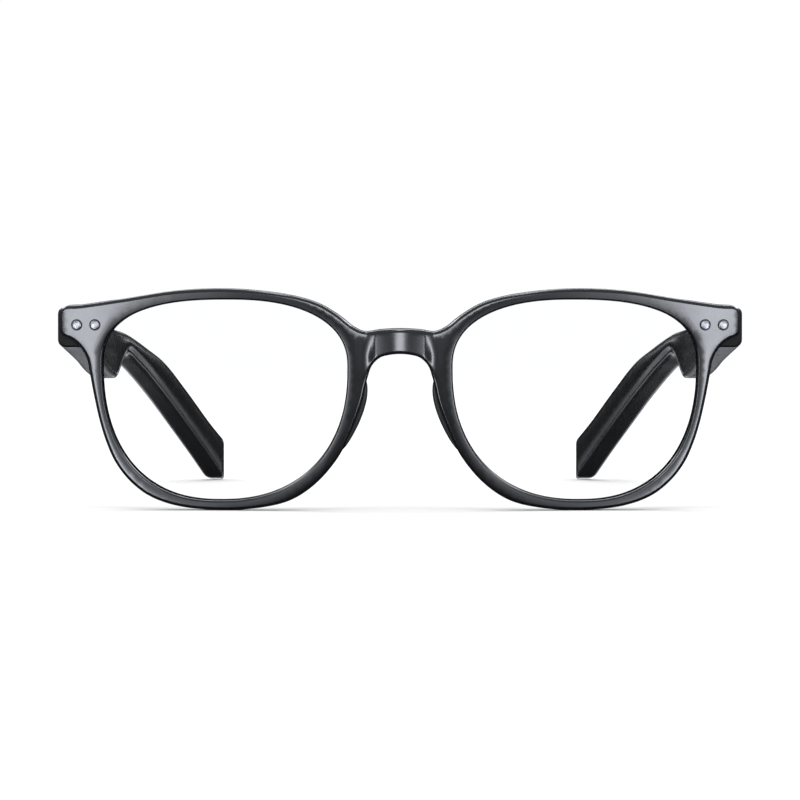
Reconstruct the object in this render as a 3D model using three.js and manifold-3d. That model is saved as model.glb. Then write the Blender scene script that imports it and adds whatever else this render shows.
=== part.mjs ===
// Smart audio glasses: a black front with two clear lenses, and two folding temples that carry
// the electronics.
// Millimetres. X runs across the face, Y runs back from the lenses to the ears, and Z is up.
// The glasses stand open on a table, on the bottoms of the rims and on the temple tips.
// Left and right are the wearer's, so the wearer's left temple is at +X. Each side is modelled at +X.
import * as THREE from "three";
import { mergeVertices } from "three/addons/utils/BufferGeometryUtils.js";
import Module from "manifold-3d";

const wasm = await Module();
wasm.setup();

// ---------- driving dimensions ----------

const GAP = 0.25; // between pieces that touch on the real object
const RUNNING_GAP = 0.12; // between the hinge pin and its holes
const FRONT_TILT = THREE.MathUtils.degToRad(4.6); // the top of the front leans forward
const TILT_HEIGHT = 23.5; // the front leans about this height

// The opening in a rim: its size, its place and how square each quarter of it is.
const opening = {
  width: 52.1,
  height: 42.7,
  nasal: 11.1, // from the middle of the bridge to the opening
  bottom: 2,
  sideRise: 28.6, // from its bottom up to its widest level
  crest: 24.8, // from the nasal side across to its highest point
  trough: 27.5, // and to its lowest
  power: { upperNasal: 2.35, upperTemporal: 2.55, lowerNasal: 2.3, lowerTemporal: 2.35 },
};
opening.temporal = opening.nasal + opening.width;
opening.top = opening.bottom + opening.height;
opening.sideHeight = opening.bottom + opening.sideRise;
opening.topAt = opening.nasal + opening.crest;
opening.bottomAt = opening.nasal + opening.trough;

const front = {
  endpieceReach: 9, // from the opening to the side of the front
  curveRadius: 550, // of the front face, seen from above
  bridgeRise: 1.6, // how far the bridge stands forward of the rims
  bridgeSpread: 6.2, // half width of that step
  thickness: 4,
  endThickness: 4.9, // of the endpiece
  endGrowth: 4, // the length over which it grows out of the rim's back
  endLow: 36.4, // how far down its flat back reaches
  endFoot: 30, // where it runs out into the rim
};
front.halfWidth = opening.temporal + front.endpieceReach;

const lens = {
  seatDepth: 0.7, // how far the groove reaches into the rim
  thickness: 1.8,
  radius: 180, // of the lens's front
  setBack: 0.1, // of the lens's middle behind the face of the rim
};
lens.middle = [(opening.nasal + opening.temporal) / 2, (opening.bottom + opening.top) / 2];

const hinge = {
  inset: 6, // of the pin from the side of the front
  clearance: 0.35, // between the barrel and the endpiece
  barrelRadius: 1.5,
  pinRadius: 0.6,
  bottom: 37,
  knuckle: 1,
  knuckleGap: 0.2,
  knuckles: 5,
  webHalf: 0.5,
  leafThickness: 0.9,
  plateBefore: 3.3, // the leaf on the front reaches this far on the nasal side of the pin
  plateBeyond: 4, // and this far on the other side
  leafLength: 10.75, // of the leaf on the temple, back from the pin
  headRadius: 1.15,
  headHeight: 0.45,
  headGap: 0.1,
};
hinge.top = hinge.bottom + hinge.knuckles * hinge.knuckle + (hinge.knuckles - 1) * hinge.knuckleGap;
hinge.middle = (hinge.top + hinge.bottom) / 2;
hinge.across = front.halfWidth - hinge.inset;
front.endBack = faceAt(front.halfWidth) - leanAt(hinge.middle) + front.endThickness;
hinge.back = front.endBack + hinge.barrelRadius + hinge.clearance;
hinge.leafEnd = hinge.back + hinge.leafLength;

const rivet = {
  headRadius: 0.98,
  headHeight: 0.55,
  headSink: 0.3,
  shankRadius: 0.55,
  tailRadius: 0.8,
  tailHeight: 0.35,
  height: 39.65,
  beyondPin: 2.3, // the outer rivet, from the pin towards the side
  beforePin: 1.6, // the inner rivet, from the pin towards the nose
};

const leafScrew = { radius: 0.55, headRadius: 0.95, headHeight: 0.4, length: 4.2, behindPin: [3.85, 8.05] };

const nosePad = { low: 11.5, high: 28, depth: 6.2, width: 3.1, proud: 0.9, lean: 0.4 };

const temple = {
  boxEnd: 80, // where the thick front part ends, behind the front
  tip: 156.9,
  frontGap: 0.5, // between the endpiece and the temple
  cornerRadius: 1.7,
  wall: 1,
  coverThickness: 1.2,
  coverEdge: 1.1, // from the top or bottom of the temple to the edge of its cover
  coverFromLeaf: 2.4, // between the hinge leaf and the cover
  coverFromTip: 3.9,
  ledge: 0.55, // what the cover rests on
  endLedge: 1.2,
};
temple.start = front.endBack + temple.frontGap;
temple.coverStart = hinge.leafEnd + temple.coverFromLeaf;
temple.coverEnd = temple.tip - temple.coverFromTip;

// Places along the temple, as [distance back, value]: the box, the neck behind it and the ear section.
const alongTemple = (box, neck, ear) => [
  ...box,
  ...neck.map(([back, value]) => [temple.boxEnd + back, value]),
  ...ear.map(([forward, value]) => [temple.tip - forward, value]),
];
const CENTRE_INSET = alongTemple([[10, 2.3], [45, 1.1]], [[-2, 0], [10, 2.1], [24, 6.1]],
  [[38.9, 9.8], [25.9, 13.5], [11.9, 18], [-1.1, 22.3]]); // of its middle, from the side of the front
const TOP = alongTemple([[10, 43.85], [45, 41.95]], [[0, 40.2], [11, 39.1], [24, 35.7]],
  [[40.9, 32.1], [25.9, 24.8], [11.9, 16.7], [-1.1, 9.8]]);
const BOTTOM = alongTemple([[10, 35], [45, 31.9]],
  [[-1, 28.5], [2, 28.5], [8.5, 33.7], [11, 34.1], [17, 31.8], [24, 28.8]],
  [[38.9, 22.3], [25.9, 15.3], [11.9, 6.9], [-1.1, -1.45]]);
const THICKNESS = alongTemple([[10, 7]], [[0, 7], [12, 6.7], [24, 6.4]], [[-1.1, 6.4]]);
const evenly = (from, to, count) =>
  Array.from({ length: count }, (_, k) => from + (k * (to - from)) / (count - 1));
const earFrom = temple.boxEnd + 31;
const earTo = temple.tip - 7;
const earSections = Math.round((earTo - earFrom) / 6.5) + 1;
const STATIONS = [
  ...evenly(temple.coverStart + 1, temple.boxEnd - 2, 5),
  ...[0, 1.5, 3.5, 6, 8.5, 11, 14, 17, 20.5, 24].map((back) => temple.boxEnd + back),
  ...evenly(earFrom, earTo, earSections),
];
// The rounded end: how far before the tip, and the share of the full section there.
const TIP_RINGS = [[2.9, 1], [1.1, 0.94], [0.3, 0.82], [0, 0.66]];

// What lies in the temple. Depths are from the inside of the outer wall towards the cover.
const speaker = { from: temple.boxEnd - 15.5, to: temple.boxEnd - 3, height: 5.6, depth: [0.85, 4] };
const boardStart = temple.coverStart + 4;
const board = { from: boardStart, to: speaker.from - 3.5, height: 4.6, depth: [0.85, 1.6],
  chipDepth: 2.7, chipMargin: 0.7, chips: [[2, 5], [14, 21], [24, 28]] };
const touchSensor = { from: boardStart + 1, to: board.to - 3, height: 4, depth: [0.25, 0.5] };
const battery = { from: temple.tip - 38.9, to: temple.tip - 7.9, height: 3.8, depth: [0.4, 3.6] };
const ribbon = { from: board.to + 1, to: battery.from - 1, height: 1.2, depth: [0.25, 0.5] };
const microphone = { from: boardStart - 2.4, to: boardStart - 0.6, height: 3, depth: [0.5, 3],
  portRadius: 0.5 };
const grille = { from: speaker.from + 2.5, to: speaker.to - 2, width: 2.4, thickness: 0.6,
  holes: 5, holeRadius: 0.5 };
const chargePad = { middle: boardStart + 9, length: 12, height: 3.6, rise: 0.5,
  pinRadius: 0.8, pinSpacing: 7, pinDepth: 2.2 };
const magnet = { radius: 1.5, thickness: 0.8 };

// ---------- solids ----------

function signedVolume(position, index) {
  const corner = [new THREE.Vector3(), new THREE.Vector3(), new THREE.Vector3()];
  let sum = 0;
  for (let i = 0; i < index.length; i += 3) {
    corner.forEach((v, k) => v.fromBufferAttribute(position, index[i + k]));
    sum += corner[0].dot(corner[1].cross(corner[2]));
  }
  return sum / 6;
}

// A closed geometry as a solid, facing out.
function solidOf(geometry) {
  const bare = geometry.clone();
  bare.deleteAttribute("normal");
  bare.deleteAttribute("uv");
  const merged = mergeVertices(bare, 1e-4);
  const triVerts = new Uint32Array(merged.index.array);
  if (signedVolume(merged.attributes.position, triVerts) < 0) triVerts.reverse();
  const vertProperties = merged.attributes.position.array;
  return new wasm.Manifold(new wasm.Mesh({ numProp: 3, vertProperties, triVerts }));
}

function geometryOf(solid) {
  const mesh = solid.getMesh();
  const geometry = new THREE.BufferGeometry();
  geometry.setAttribute("position", new THREE.BufferAttribute(mesh.vertProperties, 3));
  geometry.setIndex(new THREE.BufferAttribute(mesh.triVerts, 1));
  return geometry;
}

// The first geometry, with the others cut from it.
function cut(geometry, ...tools) {
  return geometryOf(tools.reduce((solid, tool) => solid.subtract(solidOf(tool)), solidOf(geometry)));
}

function join(...pieces) {
  return geometryOf(pieces.map(solidOf).reduce((sum, solid) => sum.add(solid)));
}

function common(a, b) {
  return geometryOf(solidOf(a).intersect(solidOf(b)));
}

function box(low, high) {
  const size = high.map((v, k) => v - low[k]);
  const middle = high.map((v, k) => (v + low[k]) / 2);
  return new THREE.BoxGeometry(...size).translate(...middle);
}

// A cylinder between two places on X, Y or Z, through the point given by its other two coordinates.
function rod(axis, radius, from, to, at, segments = 12) {
  const geometry = new THREE.CylinderGeometry(radius, radius, to - from, segments);
  geometry.translate(0, (from + to) / 2, 0);
  if (axis === "x") return geometry.rotateZ(-Math.PI / 2).translate(0, at[0], at[1]);
  if (axis === "y") return geometry.translate(at[0], 0, at[1]);
  return geometry.rotateX(Math.PI / 2).translate(at[0], at[1], 0);
}

// A closed skin through rings of points, all with the same number of points, with a fan over each end.
function loft(rings) {
  const count = rings[0].length;
  const points = rings.flat();
  const index = [];
  for (let r = 0; r + 1 < rings.length; r++)
    for (let k = 0; k < count; k++) {
      const a = r * count + k;
      const b = r * count + ((k + 1) % count);
      index.push(a, b, b + count, a, b + count, a + count);
    }
  const addCap = (ring, first, flipped) => {
    const middle = ring.reduce((sum, p) => sum.add(p), new THREE.Vector3()).divideScalar(count);
    points.push(middle);
    for (let k = 0; k < count; k++) {
      const pair = [first + k, first + ((k + 1) % count)];
      if (flipped) pair.reverse();
      index.push(points.length - 1, ...pair);
    }
  };
  addCap(rings[0], 0, true);
  addCap(rings.at(-1), (rings.length - 1) * count, false);
  return new THREE.BufferGeometry().setFromPoints(points).setIndex(index);
}

// A smooth function through [place, value] pairs: cubics whose slope at a point follows its neighbours.
function smooth(pairs) {
  const slope = pairs.map((_, i) => {
    const before = pairs[Math.max(i - 1, 0)];
    const after = pairs[Math.min(i + 1, pairs.length - 1)];
    return (after[1] - before[1]) / (after[0] - before[0]);
  });
  return (place) => {
    let i = 0;
    while (i < pairs.length - 2 && place > pairs[i + 1][0]) i++;
    const step = pairs[i + 1][0] - pairs[i][0];
    const t = (place - pairs[i][0]) / step;
    const a = 2 * t ** 3 - 3 * t ** 2 + 1;
    const b = t ** 3 - 2 * t ** 2 + t;
    const c = t ** 3 - t ** 2;
    return a * pairs[i][1] + (1 - a) * pairs[i + 1][1] + step * (b * slope[i] + c * slope[i + 1]);
  };
}

// ---------- the front ----------

// Half of the front's edge, from the middle of the bridge's top round to the middle of its underside.
// Its points go with the nasal side of the opening, its middle or the side of the front.
const NASAL = opening.nasal;
const MIDDLE = lens.middle[0];
const SIDE = front.halfWidth;
const HALF_EDGE = [[0, 38.6], [4.2, 38.4], [7.4, 38], [NASAL - 1.5, 38.9], [NASAL + 1.6, 41.3],
  [NASAL + 5.8, 43.8], [NASAL + 10.9, 45.4], [MIDDLE - 8.1, 46.5], [MIDDLE + 0.4, 47],
  [MIDDLE + 10.3, 46.5], [SIDE - 13.3, 44.7], [SIDE - 4.5, 43.4], [SIDE - 0.9, 43.05],
  [SIDE - 0.1, 42.3], [SIDE + 0.1, 39.7], [SIDE - 0.1, 37.5], [SIDE - 0.9, 36.7], [SIDE - 2.2, 36.2],
  [SIDE - 3.7, 35.1], [SIDE - 4.8, 33.8], [SIDE - 5.8, 31.8], [SIDE - 6.3, 29], [SIDE - 7.2, 24],
  [SIDE - 8.4, 18.5], [SIDE - 9.8, 14], [SIDE - 11.6, 10], [SIDE - 14.5, 6.2], [SIDE - 18.6, 3],
  [MIDDLE + 10.7, 0.9], [MIDDLE + 1.9, 0], [MIDDLE - 7.1, 0.5], [NASAL + 12.1, 2.2], [NASAL + 6.7, 5.8],
  [NASAL + 1.9, 11.5], [NASAL - 0.9, 17.2], [NASAL - 3.1, 23.2], [NASAL - 4.3, 28.4],
  [NASAL - 5.2, 30.9], [4.2, 32.6], [2.2, 33.2], [0, 33.4]];
const EDGE_POINTS = 126;
const QUARTER_POINTS = 10;

function frontEdge() {
  const mirrored = HALF_EDGE.slice(1, -1).map(([x, z]) => [-x, z]).reverse();
  const points = [...HALF_EDGE, ...mirrored].map(([x, z]) => new THREE.Vector3(x, z, 0));
  const curve = new THREE.CatmullRomCurve3(points, true, "centripetal");
  return curve.getSpacedPoints(EDGE_POINTS).slice(0, -1).map((p) => new THREE.Vector2(p.x, p.y));
}

// The rim's opening at +X, grown by a margin: four quarters of superellipses that meet level or upright.
function openingEdge(margin = 0) {
  const { nasal, temporal, top, bottom, topAt, bottomAt, sideHeight, power } = opening;
  const quarters = [
    [topAt, temporal + margin, top + margin, power.upperTemporal, false],
    [topAt, nasal - margin, top + margin, power.upperNasal, true],
    [bottomAt, nasal - margin, bottom - margin, power.lowerNasal, false],
    [bottomAt, temporal + margin, bottom - margin, power.lowerTemporal, true],
  ];
  return quarters.flatMap(([centre, side, level, exponent, fromLevel]) =>
    Array.from({ length: QUARTER_POINTS }, (_, k) => {
      const angle = ((fromLevel ? QUARTER_POINTS - k : k) / QUARTER_POINTS) * (Math.PI / 2);
      const across = (side - centre) * Math.cos(angle) ** (2 / exponent);
      const up = (level - sideHeight) * Math.sin(angle) ** (2 / exponent);
      return new THREE.Vector2(centre + across, sideHeight + up);
    }));
}

// How far back the front's face is at a place across it.
function faceAt(x) {
  const step = 1 - Math.exp(-((x / front.bridgeSpread) ** 2));
  return front.bridgeRise * step + x ** 2 / (2 * front.curveRadius);
}

function backAt(x) {
  return faceAt(x) + front.thickness;
}

// How far forward the lean carries the front at a height.
function leanAt(height) {
  return (height - TILT_HEIGHT) * Math.tan(FRONT_TILT);
}

// An outline drawn in X and Z, made solid along Y.
function upright(points, from, to) {
  const shape = new THREE.Shape(points);
  const geometry = new THREE.ExtrudeGeometry(shape, { depth: to - from, bevelEnabled: false });
  const swap = new THREE.Matrix4().set(1, 0, 0, 0, 0, 0, 1, from, 0, 1, 0, 0, 0, 0, 0, 1);
  return geometry.applyMatrix4(swap);
}

// The plate seen from above, with closer steps at the bridge.
function plateProfile() {
  const steps = 18;
  const places = Array.from({ length: 2 * steps + 1 }, (_, i) => {
    const t = i / steps - 1;
    return (SIDE + 4) * (0.35 * t + 0.65 * t ** 3);
  });
  const face = places.map((x) => new THREE.Vector2(x, faceAt(x)));
  const back = places.map((x) => new THREE.Vector2(x, backAt(x))).reverse();
  const shape = new THREE.Shape([...face, ...back]);
  return new THREE.ExtrudeGeometry(shape, { depth: 60, bevelEnabled: false }).translate(0, 0, -5);
}

function leanFront(geometry) {
  geometry.translate(0, 0, -TILT_HEIGHT);
  return geometry.rotateX(FRONT_TILT).translate(0, 0, TILT_HEIGHT);
}

// A lens-shaped solid of the opening's outline, between two concentric spheres.
function lensShape(margin, before, behind) {
  const [middleX, middleZ] = lens.middle;
  const slope = Math.atan(middleX / front.curveRadius);
  const sphereX = middleX - Math.sin(slope) * lens.radius;
  const sphereY = faceAt(middleX) + lens.setBack + Math.cos(slope) * lens.radius;
  const depthAt = (x, z, radius) =>
    sphereY - Math.sqrt(radius ** 2 - (x - sphereX) ** 2 - (z - middleZ) ** 2);
  const edge = openingEdge(margin);
  const ring = (share, radius) => edge.map((p) => {
    const x = middleX + (p.x - middleX) * share;
    const z = middleZ + (p.y - middleZ) * share;
    return new THREE.Vector3(x, depthAt(x, z, radius), z);
  });
  const outer = lens.radius + before;
  const inner = lens.radius - lens.thickness - behind;
  const shares = [0.4, 0.75, 1];
  return loft([...shares.map((s) => ring(s, outer)), ...shares.reverse().map((s) => ring(s, inner))]);
}

function mirrored(geometry) {
  return geometry.clone().scale(-1, 1, 1);
}

// The endpiece at +X, before the front leans: the plate's outline, carried back to a flat end that
// slopes into the rim below and towards the nose.
function endpieceBlock() {
  const { endBack, endGrowth, endLow, endFoot } = front;
  const full = hinge.across - hinge.plateBefore - 0.9;
  const fromAbove = [[full - endGrowth, 5], [full, endBack], [SIDE + 5, endBack], [SIDE + 5, 5]];
  const fromSide = [[5, endFoot], [6.5, endFoot], [endBack, endLow], [endBack, 50], [5, 50]];
  const across = new THREE.Shape(fromAbove.map(([x, y]) => new THREE.Vector2(x, y)));
  const along = new THREE.Shape(fromSide.map(([y, z]) => new THREE.Vector2(y, z)));
  const wedge = new THREE.ExtrudeGeometry(across, { depth: 60, bevelEnabled: false });
  const slope = new THREE.ExtrudeGeometry(along, { depth: 90, bevelEnabled: false });
  const turn = new THREE.Matrix4().set(0, 0, 1, 0, 1, 0, 0, 0, 0, 1, 0, 0, 0, 0, 0, 1);
  const outline = leanFront(upright(frontEdge(), -5, 30));
  return common(outline, common(wedge, slope.applyMatrix4(turn)));
}

// What is cut from the endpiece at +X: the seat of the hinge plate and the rivets' holes.
function endpieceCuts() {
  const { endBack } = front;
  const from = hinge.across - hinge.plateBefore - GAP;
  const to = hinge.across + hinge.plateBeyond + GAP;
  const deep = endBack - hinge.leafThickness - GAP;
  const seat = box([from, deep, hinge.bottom - GAP], [to, endBack + 1, hinge.top + GAP]);
  const holes = rivetPlaces().flatMap((x) => [
    rod("y", rivet.shankRadius + GAP, -5, endBack + 1, [x, rivet.height]),
    rod("y", rivet.headRadius + GAP, -5, rivetFace(x) + rivet.headSink + GAP, [x, rivet.height], 20),
  ]);
  return [seat, ...holes];
}

function frontFrame() {
  const plate = leanFront(common(upright(frontEdge(), -5, 30), plateProfile()));
  const block = endpieceBlock();
  const hole = leanFront(upright(openingEdge(), -6, 31));
  const groove = leanFront(lensShape(lens.seatDepth, GAP, GAP));
  const cuts = [hole, groove, ...endpieceCuts()];
  return cut(join(plate, block, mirrored(block)), ...cuts, ...cuts.map(mirrored));
}

function nosePadShape() {
  const edge = smooth(HALF_EDGE.slice(-10, -4).map(([x, z]) => [z, x]));
  const rings = 9;
  return loft(Array.from({ length: rings }, (_, i) => {
    const share = i / (rings - 1);
    const z = THREE.MathUtils.lerp(nosePad.low, nosePad.high, share);
    const swell = Math.sqrt(Math.max(1 - (2 * share - 1) ** 2, 0.05));
    const nasal = edge(z) + 1 - (1 + nosePad.proud) * swell;
    const face = backAt(edge(z) + 1) + GAP;
    const depth = nosePad.depth * swell;
    const lean = nosePad.lean * depth;
    const corners = [
      [nasal, face], [nasal - 0.1, face + 0.3 * depth], [nasal + 0.35 * lean, face + 0.75 * depth],
      [nasal + lean, face + depth], [nasal + lean + 0.6, face + depth],
      [nasal + nosePad.width * 0.9, face + 0.6 * depth], [nasal + nosePad.width, face],
    ];
    return corners.map(([x, y]) => new THREE.Vector3(x, y, z));
  }));
}

// ---------- rivets and hinge ----------

function rivetPlaces() {
  return [hinge.across + rivet.beyondPin, hinge.across - rivet.beforePin];
}

// The tilted face of the endpiece at a rivet.
function rivetFace(x) {
  return faceAt(x) - leanAt(rivet.height);
}

function rivetShape(x) {
  const face = rivetFace(x);
  const under = face + rivet.headSink;
  const crown = under - rivet.headHeight;
  const tail = front.endBack - rivet.tailHeight;
  const profile = [[0, crown], [0.55 * rivet.headRadius, crown + 0.08], [rivet.headRadius, under - 0.25],
    [rivet.headRadius, under], [rivet.shankRadius, under], [rivet.shankRadius, tail],
    [rivet.tailRadius, tail], [rivet.tailRadius, front.endBack], [0, front.endBack]];
  const points = profile.map(([radius, y]) => new THREE.Vector2(radius, y));
  return new THREE.LatheGeometry(points, 16).translate(x, 0, rivet.height);
}

// The knuckles that one leaf holds: every second one, from the first or from the second.
function knuckles(first, reach) {
  const pieces = [];
  for (let k = first; k < hinge.knuckles; k += 2) {
    const low = hinge.bottom + k * (hinge.knuckle + hinge.knuckleGap);
    const high = low + hinge.knuckle;
    pieces.push(rod("z", hinge.barrelRadius, low, high, [hinge.across, hinge.back], 20));
    pieces.push(reach(low, high));
  }
  return pieces;
}

function pinHole() {
  const radius = hinge.pinRadius + RUNNING_GAP;
  return rod("z", radius, hinge.bottom - 1, hinge.top + 1, [hinge.across, hinge.back], 16);
}

function hingePlate() {
  const plateFace = front.endBack - hinge.leafThickness;
  const from = hinge.across - hinge.plateBefore;
  const to = hinge.across + hinge.plateBeyond;
  const plate = box([from, plateFace, hinge.bottom], [to, front.endBack, hinge.top]);
  const webFrom = hinge.across - hinge.webHalf;
  const webTo = hinge.across + hinge.webHalf;
  const web = (low, high) => box([webFrom, plateFace + 0.2, low], [webTo, hinge.back, high]);
  const sink = front.endBack - rivet.tailHeight - GAP / 2;
  const holes = rivetPlaces().flatMap((x) => [
    rod("y", rivet.shankRadius + GAP / 2, 0, 20, [x, rivet.height]),
    rod("y", rivet.tailRadius + GAP / 2, sink, 20, [x, rivet.height], 16),
  ]);
  return cut(join(plate, ...knuckles(0, web)), pinHole(), ...holes);
}

function hingeScrew() {
  const { bottom, headRadius, headHeight, headGap, pinRadius } = hinge;
  const under = hinge.top + headGap;
  const height = under + headHeight;
  const profile = [[0, bottom], [pinRadius, bottom], [pinRadius, under], [headRadius, under],
    [headRadius, height], [0, height]];
  const points = profile.map(([radius, z]) => new THREE.Vector2(radius, z));
  const screw = new THREE.LatheGeometry(points, 20).rotateX(Math.PI / 2);
  const slot = box([-2, -0.15, height - 0.2], [2, 0.15, height + 1]);
  return cut(screw, slot).translate(hinge.across, hinge.back, 0);
}

const leafInside = () => insideAt(temple.start) - 0.05;

function templeHinge() {
  const face = leafInside();
  const behind = hinge.back + hinge.barrelRadius + GAP;
  const leaf = box([face, behind, hinge.bottom], [face + hinge.leafThickness, hinge.leafEnd, hinge.top]);
  const web = (low, high) => box([face, hinge.back, low], [face + hinge.leafThickness, behind + 0.2, high]);
  const holes = leafScrewPlaces().flatMap((y) => [
    rod("x", leafScrew.radius + GAP / 2, 0, 90, [y, hinge.middle]),
    rod("x", leafScrew.headRadius + GAP / 2, 0, face + leafScrew.headHeight + 0.05, [y, hinge.middle], 16),
  ]);
  return cut(join(leaf, ...knuckles(1, web)), pinHole(), ...holes);
}

function leafScrewPlaces() {
  return leafScrew.behindPin.map((back) => hinge.back + back);
}

function leafScrewShape(y) {
  const face = leafInside();
  const { headRadius, headHeight, radius, length } = leafScrew;
  const profile = [[0, 0], [headRadius - 0.15, 0], [headRadius, 0.15], [headRadius, headHeight],
    [radius, headHeight], [radius, length], [0, length]];
  const points = profile.map(([r, x]) => new THREE.Vector2(r, x));
  const screw = new THREE.LatheGeometry(points, 14).rotateZ(-Math.PI / 2);
  const slot = box([-1, -1, -0.12], [0.18, 1, 0.12]);
  return cut(screw, slot).translate(face, y, hinge.middle);
}

// ---------- the temple at +X ----------

const insetAt = smooth(CENTRE_INSET);
const centreAt = (y) => front.halfWidth - insetAt(y);
const topAt = smooth(TOP);
const bottomAt = smooth(BOTTOM);
const thicknessAt = smooth(THICKNESS);
const insideAt = (y) => centreAt(y) - thicknessAt(y) / 2;
const outsideAt = (y) => centreAt(y) + thicknessAt(y) / 2;
const middleHeightAt = (y) => (topAt(y) + bottomAt(y)) / 2;

// A ring at one place along the temple: a rectangle with rounded corners.
function sectionRing(y, share = 1) {
  const corner = Math.min(temple.cornerRadius, 0.45 * (topAt(y) - bottomAt(y))) * share;
  const halfAcross = (thicknessAt(y) / 2) * share;
  const halfUp = ((topAt(y) - bottomAt(y)) / 2) * share;
  const segments = 3;
  const quarters = [[1, 1], [-1, 1], [-1, -1], [1, -1]];
  return quarters.flatMap(([right, up], q) => Array.from({ length: segments + 1 }, (_, k) => {
    const angle = (q + k / segments) * (Math.PI / 2);
    const x = right * (halfAcross - corner) + corner * Math.cos(angle);
    const z = up * (halfUp - corner) + corner * Math.sin(angle);
    return new THREE.Vector3(centreAt(y) + x, y, middleHeightAt(y) + z);
  }));
}

function templeBody() {
  const full = [temple.start, ...STATIONS].map((y) => sectionRing(y));
  const end = TIP_RINGS.map(([forward, share]) => sectionRing(temple.tip - forward, share));
  return loft([...full, ...end]);
}

// A solid that follows the temple from one place to another. at(y) gives [low x, high x, low z, high z].
function follow(from, to, at) {
  const places = [from, ...STATIONS.filter((y) => y > from + 0.5 && y < to - 0.5), to];
  return loft(places.map((y) => {
    const [lowX, highX, lowZ, highZ] = at(y);
    const corners = [[lowX, lowZ], [highX, lowZ], [highX, highZ], [lowX, highZ]];
    return corners.map(([x, z]) => new THREE.Vector3(x, y, z));
  }));
}

// The space that the cover fills, grown by a margin.
function coverSpace(margin) {
  return follow(temple.coverStart - margin, temple.coverEnd + margin, (y) => [
    insideAt(y) - 3, insideAt(y) + temple.coverThickness + margin,
    bottomAt(y) + temple.coverEdge - margin, topAt(y) - temple.coverEdge + margin,
  ]);
}

function cavity() {
  const edge = temple.coverEdge + temple.ledge;
  return follow(temple.coverStart + temple.endLedge, temple.coverEnd - temple.endLedge, (y) => [
    insideAt(y) + 0.2, outsideAt(y) - temple.wall, bottomAt(y) + edge, topAt(y) - edge,
  ]);
}

// A piece in the cavity, with its depths counted from the inside of the outer wall.
function packed({ from, to, height, depth: [near, far] }) {
  return follow(from, to, (y) => {
    const wall = outsideAt(y) - temple.wall;
    return [wall - far, wall - near, middleHeightAt(y) - height / 2, middleHeightAt(y) + height / 2];
  });
}

function grilleSpace(margin, up) {
  return follow(grille.from - margin, grille.to + margin, (y) => [
    centreAt(y) - grille.width / 2 - margin, centreAt(y) + grille.width / 2 + margin,
    bottomAt(y) - (up ? 1 : 0), bottomAt(y) + (up || grille.thickness),
  ]);
}

function hingeCuts() {
  const face = leafInside();
  const deep = face + hinge.leafThickness + GAP;
  const low = hinge.bottom - GAP;
  const high = hinge.top + hinge.headGap + hinge.headHeight + GAP;
  const leaf = box([face - 3, temple.start - 1, low], [deep, hinge.leafEnd + GAP, high]);
  const barrel = rod("z", hinge.barrelRadius + GAP, low, high, [hinge.across, hinge.back], 20);
  const screws = leafScrewPlaces().map((y) =>
    rod("x", leafScrew.radius + GAP, 0, face + leafScrew.length + GAP, [y, hinge.middle]));
  return [leaf, barrel, ...screws];
}

function templeCase() {
  const port = rod("z", microphone.portRadius, 20, middleHeightAt(microphone.from),
    [centreAt(microphone.from), (microphone.from + microphone.to) / 2]);
  return cut(templeBody(), coverSpace(GAP), cavity(), ...hingeCuts(), grilleSpace(GAP, 3), port);
}

function chargePinPlaces() {
  return [-1, 1].map((side) => chargePad.middle + (side * chargePad.pinSpacing) / 2);
}

const padFace = () => insideAt(chargePad.middle) - chargePad.rise;

function templeCover() {
  const { middle, length, height } = chargePad;
  const level = middleHeightAt(middle);
  const pad = box([padFace(), middle - length / 2, level - height / 2],
    [insideAt(middle) + 0.6, middle + length / 2, level + height / 2]);
  const holes = chargePinPlaces().map((y) => rod("x", chargePad.pinRadius + GAP, 50, 80, [y, level], 16));
  return cut(join(common(templeBody(), coverSpace(0)), pad), ...holes);
}

function chargePin(y) {
  const face = padFace();
  return rod("x", chargePad.pinRadius, face - 0.05, face + chargePad.rise + chargePad.pinDepth,
    [y, middleHeightAt(chargePad.middle)], 16);
}

function chargeMagnet() {
  const from = insideAt(chargePad.middle) + temple.coverThickness + GAP;
  return rod("x", magnet.radius, from, from + magnet.thickness,
    [chargePad.middle, middleHeightAt(chargePad.middle)], 16);
}

function circuitBoard() {
  const height = board.height - 2 * board.chipMargin;
  const depth = [board.depth[1] - 0.1, board.chipDepth];
  const chips = board.chips.map(([from, to]) =>
    packed({ from: board.from + from, to: board.from + to, height, depth }));
  return join(packed(board), ...chips);
}

function speakerGrille() {
  const step = (grille.to - grille.from) / grille.holes;
  const holes = Array.from({ length: grille.holes }, (_, k) => {
    const y = grille.from + (k + 0.5) * step;
    return rod("z", grille.holeRadius, 20, 40, [centreAt(y), y], 10);
  });
  return cut(grilleSpace(0, 0), ...holes);
}

// ---------- the object ----------

const blackPlastic = { color: 0x1b1c1e, roughness: 0.32, metalness: 0 };
const blackCover = { color: 0x17181a, roughness: 0.42, metalness: 0 };
const padSilicone = { color: 0x151617, roughness: 0.55, metalness: 0 };
const clearLens = { color: 0xf4f8fa, roughness: 0.03, metalness: 0, transparent: true, opacity: 0.25 };
const polishedSteel = { color: 0xc9cacc, roughness: 0.22, metalness: 1 };
const darkSteel = { color: 0x56585c, roughness: 0.35, metalness: 1 };
const goldPlate = { color: 0xd9b566, roughness: 0.25, metalness: 1 };
const boardGreen = { color: 0x1d4a34, roughness: 0.5, metalness: 0 };
const cellFoil = { color: 0xa9adb1, roughness: 0.4, metalness: 0.8 };
const filmAmber = { color: 0xb5772a, roughness: 0.4, metalness: 0 };

const glasses = new THREE.Group();

function add(name, finish, geometry) {
  const mesh = new THREE.Mesh(geometry, new THREE.MeshStandardMaterial(finish));
  mesh.name = name;
  glasses.add(mesh);
}

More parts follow.
